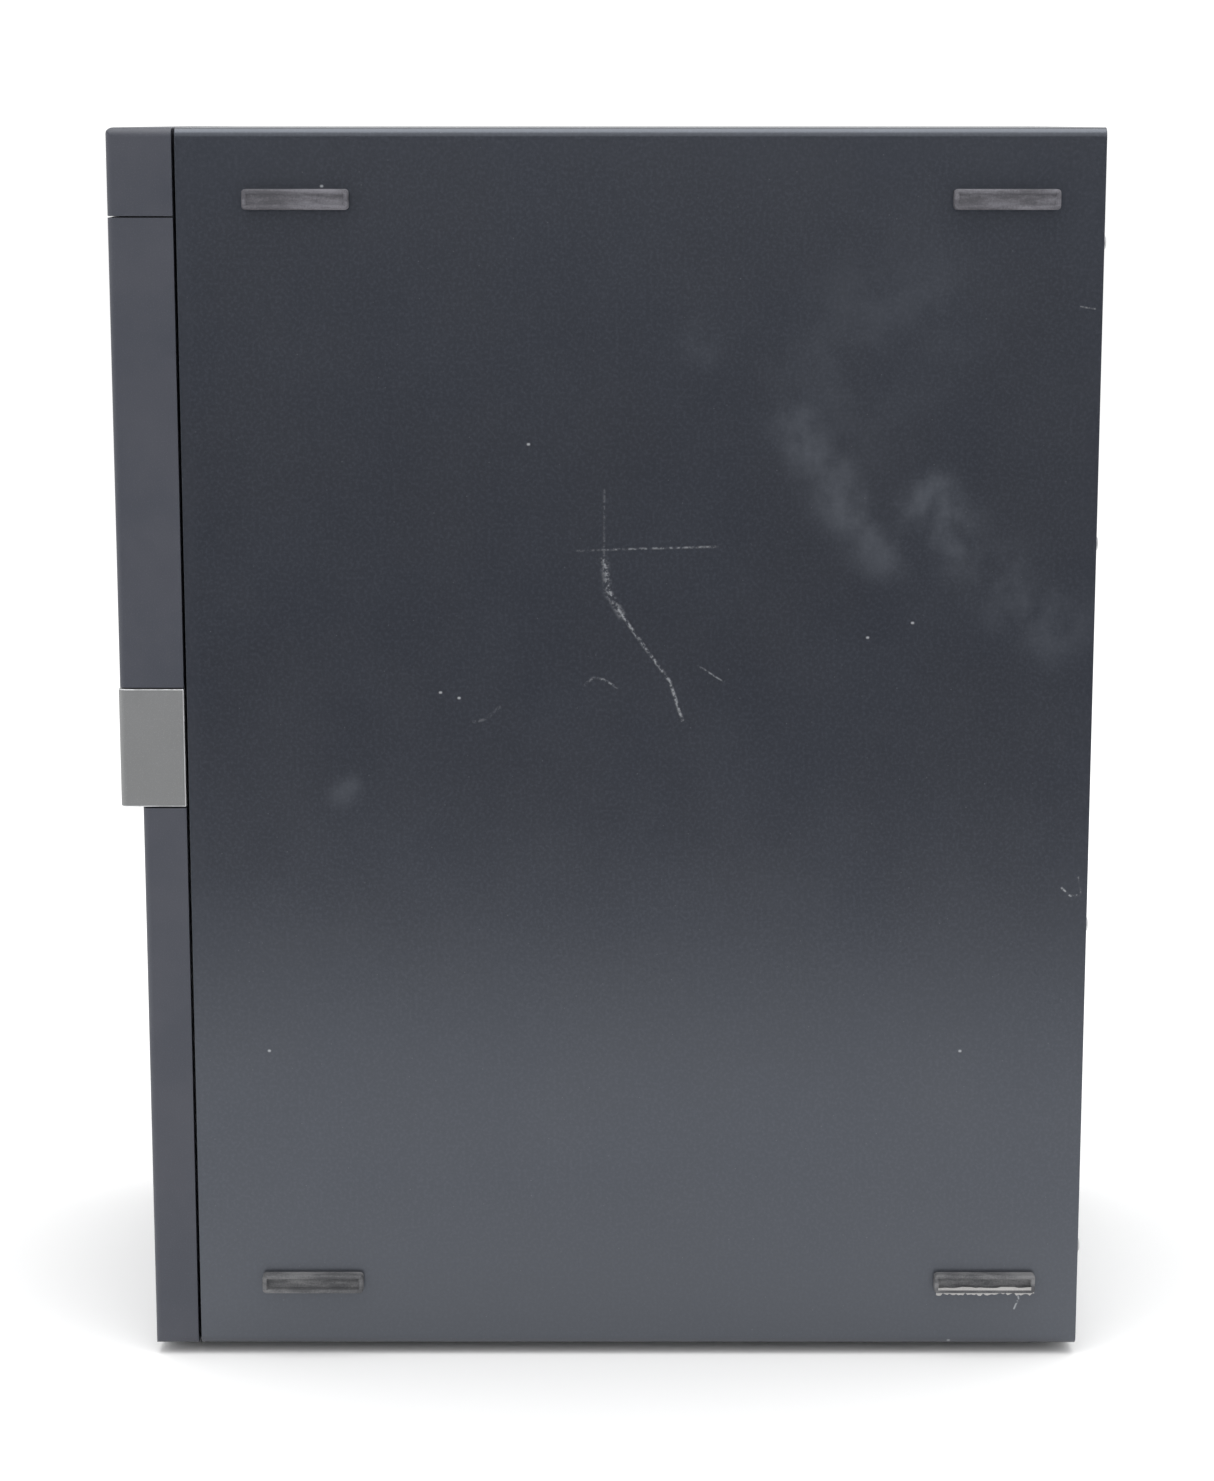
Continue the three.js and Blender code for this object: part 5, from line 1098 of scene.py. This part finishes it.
def board_parts():
    parts = Piece("board_parts", "case", "board_green", BLACK, NICKEL, FERRITE, ALUMINIUM, IVORY, GOLD)
    # sockets' frame, memory clips and slot ends
    parts.slab("x", around(CPU.y, 54), around(CPU.z, 52),
        from_base(BOARD_FACE, [(0, 3, -0.1), (0, 3, -4), (0.5, 3, -4.6), (6, 2, -4.6), (6.5, 2, -4),
        (6.5, 2, -3.1), (6.5, 2, -0.1)]), 1, closed=True)
    parts.tube(smooth_path([(BOARD_FACE - 5, CPU.y + 29, CPU.z - 22),
        (BOARD_FACE - 5, CPU.y + 29, CPU.z + 20),
                            (BOARD_FACE - 5, CPU.y + 31.5, CPU.z + 24)], 14), 0.7, 10, 1)
    for row, y in enumerate(ROWS_Y):
        for z, lean in ((ROWS_Z[0] - 1.8, -1), (ROWS_Z[1] + 0.8, 1)):
            out = 0 if row < 2 else 1.2 * lean
            parts.block(off_board(13, 1), around(y, 4.6), around(z + out * 0.3, 3), 0.5, 4)
            parts.block(off_board(16, 12), around(y, 5.6), around(z + out * 0.8, 3.6), 0.8, 4)
    for i, z in enumerate(SLOTS_Z):
        front = SLOT_REAR - (89, 25, 89, 84)[i]
        parts.block(off_board(11.2, 9), (front + 3, SLOT_REAR - 3), around(z, 1.5), 0.1, 2)
        if i in (0, 2):
            parts.block(off_board(14.5, 0.5), (front - 5, front - 0.3), around(z, 5), 0.6, 0 if i else 4)
    # the chipset's finned block, and the coin cell
    y, z = CPU.y - 25, PORTS_Z[0] + 6
    parts.block(off_board(9, 6), around(y, 27), around(z, 27), 0.3, 3)
    for i in range(9):
        parts.block(off_board(20, 8.5), around(y, 27), around(z - 12.8 + i * 3.2, 1.2), 0.25, 3)
    y, z = CPU.y - 71, SLOTS_Z[0] - 8
    parts.lathe("x", (y, z), from_base(BOARD_FACE,
        [(9.3, -4.8), (9.3, -5.3), (8.9, -5.7), (8.3, -5.8), (8.1, -5.65)]), 48, 1)
    parts.block(off_board(6.6, 1), around(y + 9.8, 1.6), around(z, 6), 0.3, 1)
    # cans, chokes' lids and chips
    for i in range(3):
        capacitor(parts, CPU.y + 48.5, CPU.z - 16 + i * 16, 3.8, 9.4)
    for y, z in ((-67, 92), (-67, 104), (-8, 112), (24, 112), (34, 112), (44, 112), (-74, 232), (92, 92),
            (92, 216), (84, 206), (-60, 20)):
        capacitor(parts, y, z, 2.6, 7.5)
    for i in range(4):
        z = CPU.z - 24 + i * 16
        parts.block(off_board(7.3, 6.5), around(CPU.y + 59, 8), around(z, 9), 0.5, 2)
        chip(parts, CPU.y + 40, z, 5, 6, 3, 1.1)
    for y, z, wide, high in ((78, 108, 9, 9), (55, 101, 7, 7), (-73, 45, 14, 14), (-72, 155, 9, 9),
            (-72, 178, 6, 8),
                             (-40, 24, 9, 9), (98, 62, 9, 7), (96, 34, 7, 12), (-30, 88, 6, 8),
                             (94, 74, 6, 6)):
        chip(parts, y, z, wide, high, 6)
    # pin headers along the front and lower edges
    for y, z, columns in ((-92, 60, 5), (-92, 80, 4), (-92, 36, 5), (-60, 12, 4), (88, 12, 5)):
        parts.block(off_board(2.6, 0.1), around(y, 5.2), around(z, 2.54 * columns + 0.4), 0.2)
        for i in range(columns):
            for side in (-1.27, 1.27):
                place = around(z + (i - (columns - 1) / 2) * 2.54, 0.64)
                parts.block(off_board(8.5, 2), around(y + side, 0.64), place, 0.15, 5)
    # screws into the tray, and the cooler's spring posts
    for y, z in ((BOARD_LOW.y + 8, BOARD_LOW.z + 8), (12, BOARD_LOW.z + 8),
            (BOARD_HIGH.y - 18, BOARD_LOW.z + 8),
                 (12, (BOARD_LOW.z + BOARD_HIGH.z) / 2), (BOARD_LOW.y + 8, BOARD_HIGH.z - 8),
                 (12, BOARD_HIGH.z - 8)):
        parts.screw("x", (y, z), BOARD_FACE, -1, 2.8, 1)
    for sy in (-1, 1):
        for sz in (-1, 1):
            y, z = CPU.y + sy * 47, CPU.z + sz * 47
            for turn in range(5):
                ring = [Vector((BOARD_FACE - 3.5 - turn * 1.7, y + 2.4 * math.cos(a * math.pi / 10),
                    z + 2.4 * math.sin(a * math.pi / 10))) for a in range(20)]
                parts.tube([*ring, ring[0] + Vector((-0.01, 0, 0))], 0.35, 6, 1)
            parts.lathe("x", (y, z), [(1.5, BOARD_FACE - 0.1), (1.5, BOARD_FACE - 12.4)], 16, 1)
            parts.screw("x", (y, z), BOARD_FACE - 12, -1, 3.6, 1)
            arm_y = (min(y - 3.5, CPU.y + sy * 40), max(y + 3.5, CPU.y + sy * 40))
            arm_z = (min(z - 3.5, CPU.z + sz * 40), max(z + 3.5, CPU.z + sz * 40))
            parts.block(off_board(12.4, 11), (min(arm_y), max(arm_y)), around(z, 6), 0.3, 1)
            parts.block(off_board(12.4, 11), around(CPU.y + sy * 43.8, 1.6), arm_z, 0.3, 1)
    # the scatter of small resistors and capacitors
    draw = random.Random(11)
    taken = [(around(CPU.y, 60), around(CPU.z, 60)), ((ROWS_Y[0] - 5, ROWS_Y[3] + 5), grow(ROWS_Z, 5)),
             ((CPU.y + 44, CPU.y + 66), around(CPU.z, 60)),
             ((BOARD_HIGH.y - 18, BOARD_HIGH.y), grow(PORTS_Z, 2)),
             (around(CPU.y - 25, 30), around(PORTS_Z[0] + 6, 30)),
             (around(CPU.y - 71, 24), around(SLOTS_Z[0] - 8, 24)),
             ((BOARD_LOW.y, BOARD_LOW.y + 15), (BOARD_LOW.z, BOARD_HIGH.z))]
    taken += [((SLOT_REAR - 96, SLOT_REAR + 2), around(z, 10)) for z in SLOTS_Z]
    for i in range(220):
        y, z = draw.uniform(BOARD_LOW.y + 3, BOARD_HIGH.y - 3), draw.uniform(BOARD_LOW.z + 3,
            BOARD_HIGH.z - 3)
        along, kind = draw.random() < 0.5, draw.choice((0, 0, 4, 2))
        if any(a[0] < y < a[1] and b[0] < z < b[1] for a, b in taken):
            continue
        long, short = (1.0, 0.9) if along else (0.9, 1.0)
        parts.block(off_board(0.7, 0.05), around(y, long), around(z, short), 0.08, kind, 1)
        for sign in (-1, 1):
            dy, dz = (sign * 0.75, 0) if along else (0, sign * 0.75)
            parts.block(off_board(0.68, 0.05), around(y + dy, 0.45 if along else 0.9),
                        around(z + dz, 0.9 if along else 0.45), 0, 1, 1)
    parts.done()


paint_faces("motherboard", (BLACK, PORT_BLUE, NICKEL, FERRITE, IVORY), board_part)
paint_faces("memory_module_1", (BLACK,), lambda p: 1 if p.y > MODULES[0][0].y + 1.4 else 0)
paint_faces("memory_module_2", (BLACK,), lambda p: 1 if p.y > MODULES[1][0].y + 1.4 else 0)
DISK = millimetres("hard_drive")
paint_faces("hard_drive", (NICKEL, BOARD),
    lambda p: 1 if p.y < DISK[0].y + 2 else 2 if p.y > DISK[1].y - 1.8 else 0)
board_parts()

# ---------------------------------------------------------------- wiring


def bundle(piece, path, ring, wire, count, core, turns):
    """Wires wound gently round each other along a path."""
    frames = frames_along(path)
    for number in range(count + core):
        outer = number < count
        radius = ring if outer else wire * (1.08 if core > 1 else 0)
        start = 2 * math.pi * number / (count if outer else core)
        strand = []
        for i, (point, (side, up)) in enumerate(zip(path, frames)):
            angle = start + turns * 2 * math.pi * i / (len(path) - 1)
            strand.append(point + radius * (side * math.cos(angle) + up * math.sin(angle)))
        piece.tube(strand, wire, 8, (1, 0, 2, 0, 3, 0)[number % 6])


def tie(piece, path, place, radius, material=0):
    """A cable tie round a bundle, with its head."""
    frames = frames_along(path)
    centre, (side, up) = path[place], frames[place]
    ahead = side.cross(up)
    angles = [2 * math.pi * i / 28 for i in range(28)]
    band = [centre + radius * (side * math.cos(a) + up * math.sin(a)) for a in angles]
    loops = [[p + ahead * w * 1.1 + (p - centre).normalized() * h for w,
        h in ((-1, 0), (1, 0), (1, 0.7), (-1, 0.7))] for p in band]
    piece.rings(loops, material, closed=True)
    head = centre + side * (radius + 0.9)
    piece.block(around(head.x, 2.6), around(head.y, 2.6), around(head.z, 2.6), 0.5, material)


def main_power_wires():
    low, high = millimetres("main_power_cable")
    supply = millimetres("supply_case")
    bay = millimetres("bay_cover")[0].z - 0.2
    plug_y, plug_z = BOARD_LOW.y + 6.5, PORTS_Z[1] - 40
    plug_x = off_board(20, 8.2)
    x, y, z = supply[1].x - 20, supply[0].y, supply[0].z + 20
    lane = MODULES[0][0].x - 7.5
    path = smooth_path([
        (x, y - 0.5, z), (x, y - 7, z - 3), (x - 2, y - 10, z - 16), (x - 8, y - 13, bay - 10),
        ((x + lane) / 2, y - 28, bay - 14), (lane, ROWS_Y[3], bay - 18), (lane, ROWS_Y[0] - 6, bay - 24),
        (plug_x[0] - 14, plug_y + 10, plug_z + 8), (plug_x[0] - 6, plug_y, plug_z),
        (plug_x[0] + 2, plug_y, plug_z)], 90)
    wires = Piece("main_power_wires", "case", "cable_black", SLEEVE, YELLOW, RED, ORANGE, IVORY,
        replaces=("main_power_cable",))
    bundle(wires, path, 3.4, 1.05, 9, 3, 1.6)
    for place in (8, 40, 66):
        tie(wires, path, place, 4.55)
    wires.block(plug_x, around(plug_y, 9.6), around(plug_z, 51.6), 0.4, 4)
    for i in range(12):
        for side in (-2.1, 2.1):
            cell = around(plug_z - 23.1 + i * 4.2, 3.4)
            wires.block((plug_x[0] - 0.5, plug_x[0] + 2), around(plug_y + side, 3.4), cell, 0.3, 4)
    wires.block((plug_x[0] + 1, plug_x[1] - 1), (plug_y + 4.7, plug_y + 6.6), around(plug_z, 7), 0.4, 4)
    # single wires spread from the bundle to the plug's cells
    for i in range(8):
        cell_z = plug_z - 23.1 + (i if i < 4 else i + 4) * 4.2
        side = -2.1 if i % 2 else 2.1
        start = path[-14]
        route = [start, start.lerp(Vector((plug_x[0] - 9, plug_y + side, cell_z)), 0.55),
                 (plug_x[0] - 6, plug_y + side, cell_z), (plug_x[0] + 0.5, plug_y + side, cell_z)]
        wires.tube(smooth_path(route, 20), 0.95, 8, (1, 0, 2, 3)[i % 4])
    wires.done()


def drive_wires():
    disk = DISK
    plug_y, plug_z = BOARD_LOW.y + 8, PORTS_Z[0] + 22
    plug_x = off_board(20, 8.2)
    disk_x, disk_y = disk[0].x + 40, (disk[0].y + disk[1].y) / 2
    disk_plug = (disk[1].z + 0.3, disk[1].z + 9.3)
    path = smooth_path([
        (plug_x[0] + 2, plug_y, plug_z), (plug_x[0] - 6, plug_y, plug_z),
        (plug_x[0] - 9, plug_y, plug_z + 14),
        (plug_x[0] - 9, disk_y, disk_plug[0] - 4), (plug_x[0] - 16, disk_y, disk_plug[1] + 6),
        (disk[1].x - 20, disk_y, disk_plug[1] + 12), (disk_x + 14, disk_y, disk_plug[1] + 12),
        (disk_x + 2, disk_y, disk_plug[1] + 7), (disk_x, disk_y, disk_plug[1] - 2)], 80)
    wires = Piece("drive_wires", "case", "cable_black", SLEEVE, YELLOW, RED, ORANGE,
        replaces=("drive_cable",))
    bundle(wires, path, 1.85, 0.92, 6, 1, 2)
    tie(wires, path, 22, 2.85)
    tie(wires, path, 52, 2.85)
    wires.block(plug_x, around(plug_y, 7.6), around(plug_z, 15.6), 0.6, 0)
    wires.block((plug_x[0] - 2.5, plug_x[0] + 1), around(plug_y, 5.4), around(plug_z, 11), 1, 0)
    wires.block(around(disk_x, 33.6), around(disk_y, 7.6), disk_plug, 0.6, 0)
    wires.block(around(disk_x, 24), around(disk_y, 5.6), (disk_plug[1] - 0.5, disk_plug[1] + 2), 0.8, 0)
    wires.done()


main_power_wires()
drive_wires()

# ---------------------------------------------------------------- drives


def drive_details():
    """The tray's spindle chuck, rubber ring and laser sled."""
    low, high = millimetres("disc_tray")
    top = high.z - 1.4
    x, y = (low.x + high.x) / 2, (low.y + high.y) / 2 + 1
    tray = Piece("disc_tray_details", "disc_tray", "black_plastic", BLACK, NICKEL, RUBBER, LENS)
    tray.lathe("z", (x, y), from_base(top,
        [(8.2, -0.4), (8.2, 0.05), (8.6, 0.15), (12.2, 0.15), (12.5, 0), (12.5, -0.4)]), 48, 2, closed=True)
    tray.lathe("z", (x, y), from_base(top,
        [(7.0, 1.2), (6.6, 1.45), (3.2, 1.6), (2.6, 1.3), (0.4, 1.3)]), 40, 1)
    for i in range(3):
        angle = 2 * math.pi * i / 3
        tray.block(around(x + 6.9 * math.cos(angle), 2), around(y + 6.9 * math.sin(angle), 2),
            (top + 0.3, top + 1.3), 0.7)
    for radius in (40, 57.4):
        tray.lathe("z", (x, y), from_base(top,
            [(radius, -2.5), (radius, -2.25), (radius + 0.6, -2.25), (radius + 0.6, -2.5)]), 72, 0,
            closed=True)
    floor = top - 2.4
    tray.slab("z", around(x, 36), (y + 15, y + 50),
        from_base(floor, [(0, 3, -0.2), (0, 3, 0.3), (0.4, 3, 0.45), (1.6, 2, 0.45), (1.9, 2, 0.05),
        (1.9, 2, -0.2)]), 0, closed=True)
    tray.block(around(x, 27), (y + 19, y + 34), (floor - 0.1, floor + 0.35), 0.2, 1)
    tray.lathe("z", (x, y + 26),
        from_base(floor, [(4.6, 0.2), (4.6, 0.7), (4.2, 0.9), (2.9, 0.9), (2.8, 0.6)]), 32, 0)
    tray.lathe("z", (x, y + 26), from_base(floor, [(2.7, 0.5), (2.5, 0.85), (1.6, 1.05), (0.6, 1.12)]),
        28, 3)
    for side in (-8, 8):
        tray.lathe("y", (x + side, floor + 0.45), [(0.7, y + 16.5), (0.7, y + 48)], 12, 1)
    tray.done()


def bay_screws():
    frame_low, frame_high = millimetres("drive_bay_frame")
    disk, cage = DISK, millimetres("hard_drive_cage")
    screws = Piece("drive_screws", "case", "sheet_steel", NICKEL)
    for y in (frame_low.y + 22, frame_low.y + 78):
        for z in (frame_high.z - 8, frame_low.z + 14, frame_low.z + 34):
            screws.screw("x", (y, z), frame_low.x, -1, 2.8)
    for z in (disk[0].z + 20, disk[0].z + 78, disk[0].z + 116):
        screws.screw("x", ((disk[0].y + disk[1].y) / 2, z), cage[0].x, -1, 2.8)
    for x in (disk[0].x + 6, disk[1].x - 6):
        for z in (disk[0].z + 8, disk[1].z - 8):
            screws.screw("y", (x, z), disk[0].y + 2, -1, 2.2)
    supply = millimetres("supply_case")
    for y in (supply[0].y + 7, supply[1].y - 7):
        for z in (supply[0].z + 5, supply[1].z - 5):
            screws.screw("x", (y, z), supply[0].x, -1, 2.6)
    screws.done()


drive_details()
bay_screws()

# ---------------------------------------------------------------- stage, light and camera


def plane(name, corners, material):
    mesh = bpy.data.meshes.new(name)
    mesh.from_pydata(corners, [], [list(range(len(corners)))])
    obj = bpy.data.objects.new(name, mesh)
    obj.data.materials.append(material)
    bpy.context.scene.collection.objects.link(obj)
    return obj


def stage_material(name, color, roughness=0.8):
    look = Look(name, roughness=roughness, Specular_IOR_Level=0.0)
    cloud = look.scale(look.noise(300, 2, 0.5), 0.3, 0.7, 0.0, 0.03)
    look.set("Base Color", look.blend(cloud, color, tuple(c * 0.9 for c in color)))
    return look.material


skin_low, skin_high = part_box("outer_skin")
FACE_X = skin_high.x
# the stage's sizes, in metres
FLOOR_END = 30
CARD_X = 8  # where the near card ends and the far card stands
NEAR_START = FACE_X + 0.41
NEAR_END = 6
NEAR_LIFT = 0.004
FAR_END = 9
FAR_TOP = 2.2
floor_corners = [(-FLOOR_END, -FLOOR_END, 0), (FLOOR_END, -FLOOR_END, 0)]
floor_corners += [(FLOOR_END, FLOOR_END, 0), (-FLOOR_END, FLOOR_END, 0)]
near_corners = [(NEAR_START, -NEAR_END, NEAR_LIFT), (CARD_X, -NEAR_END, NEAR_LIFT)]
near_corners += [(CARD_X, NEAR_END, NEAR_LIFT), (NEAR_START, NEAR_END, NEAR_LIFT)]
far_corners = [(CARD_X, -FAR_END, 0), (CARD_X, FAR_END, 0)]
far_corners += [(CARD_X, FAR_END, FAR_TOP), (CARD_X, -FAR_END, FAR_TOP)]
floor = plane("floor", floor_corners, stage_material("pale floor", (0.9, 0.9, 0.9)))

# dark cards that only reflections see: they shade the satin side as a dim room would
card_paint = stage_material("grey card", (0.08, 0.085, 0.1))
near_card = plane(
    "near_card", near_corners, card_paint
)
far_card = plane("far_card", far_corners, stage_material("room card", (0.42, 0.43, 0.45)))
for card in (near_card, far_card):
    card.visible_camera = False
    card.visible_diffuse = False
    card.visible_shadow = False


def area_light(name, place, target, size, power, color=(1, 1, 1)):
    data = bpy.data.lights.new(name, "AREA")
    data.shape = "RECTANGLE"
    data.size, data.size_y = size
    data.energy = power
    data.color = color
    obj = bpy.data.objects.new(name, data)
    obj.location = place
    obj.rotation_euler = (Vector(target) - Vector(place)).to_track_quat("-Z", "Y").to_euler()
    bpy.context.scene.collection.objects.link(obj)
    return obj


area_light("overhead", (0.2, 0, 1.7), (0, 0, 0.1), (1.5, 1.5), 16)
area_light("front left", (1.3, -1.5, 1.2), (0, 0, 0.17), (1.2, 1.2), 2.5,
    (0.97, 0.98, 1.0)).visible_glossy = False

world = bpy.data.worlds.new("studio")
bpy.context.scene.world = world
world.use_nodes = True
background = world.node_tree.nodes["Background"]
background.inputs["Color"].default_value = (1, 1, 1, 1)
background.inputs["Strength"].default_value = 1.14

camera_data = bpy.data.cameras.new("camera")
camera_data.lens = 81.63
camera_data.sensor_width = 36
camera_data.clip_start = 0.02
camera = bpy.data.objects.new("camera", camera_data)
bpy.context.scene.collection.objects.link(camera)
bpy.context.scene.camera = camera
PITCH = math.radians(10.47)
YAW = math.radians(-0.07)
camera.location = (FACE_X + 0.8931, skin_low.y + 0.1145, skin_high.z + 0.0019)
forward = Vector((-math.cos(PITCH) * math.cos(YAW), math.cos(PITCH) * math.sin(YAW), -math.sin(PITCH)))
camera.rotation_euler = forward.to_track_quat("-Z", "Y").to_euler()
bpy.context.scene.view_settings.view_transform = "Standard"
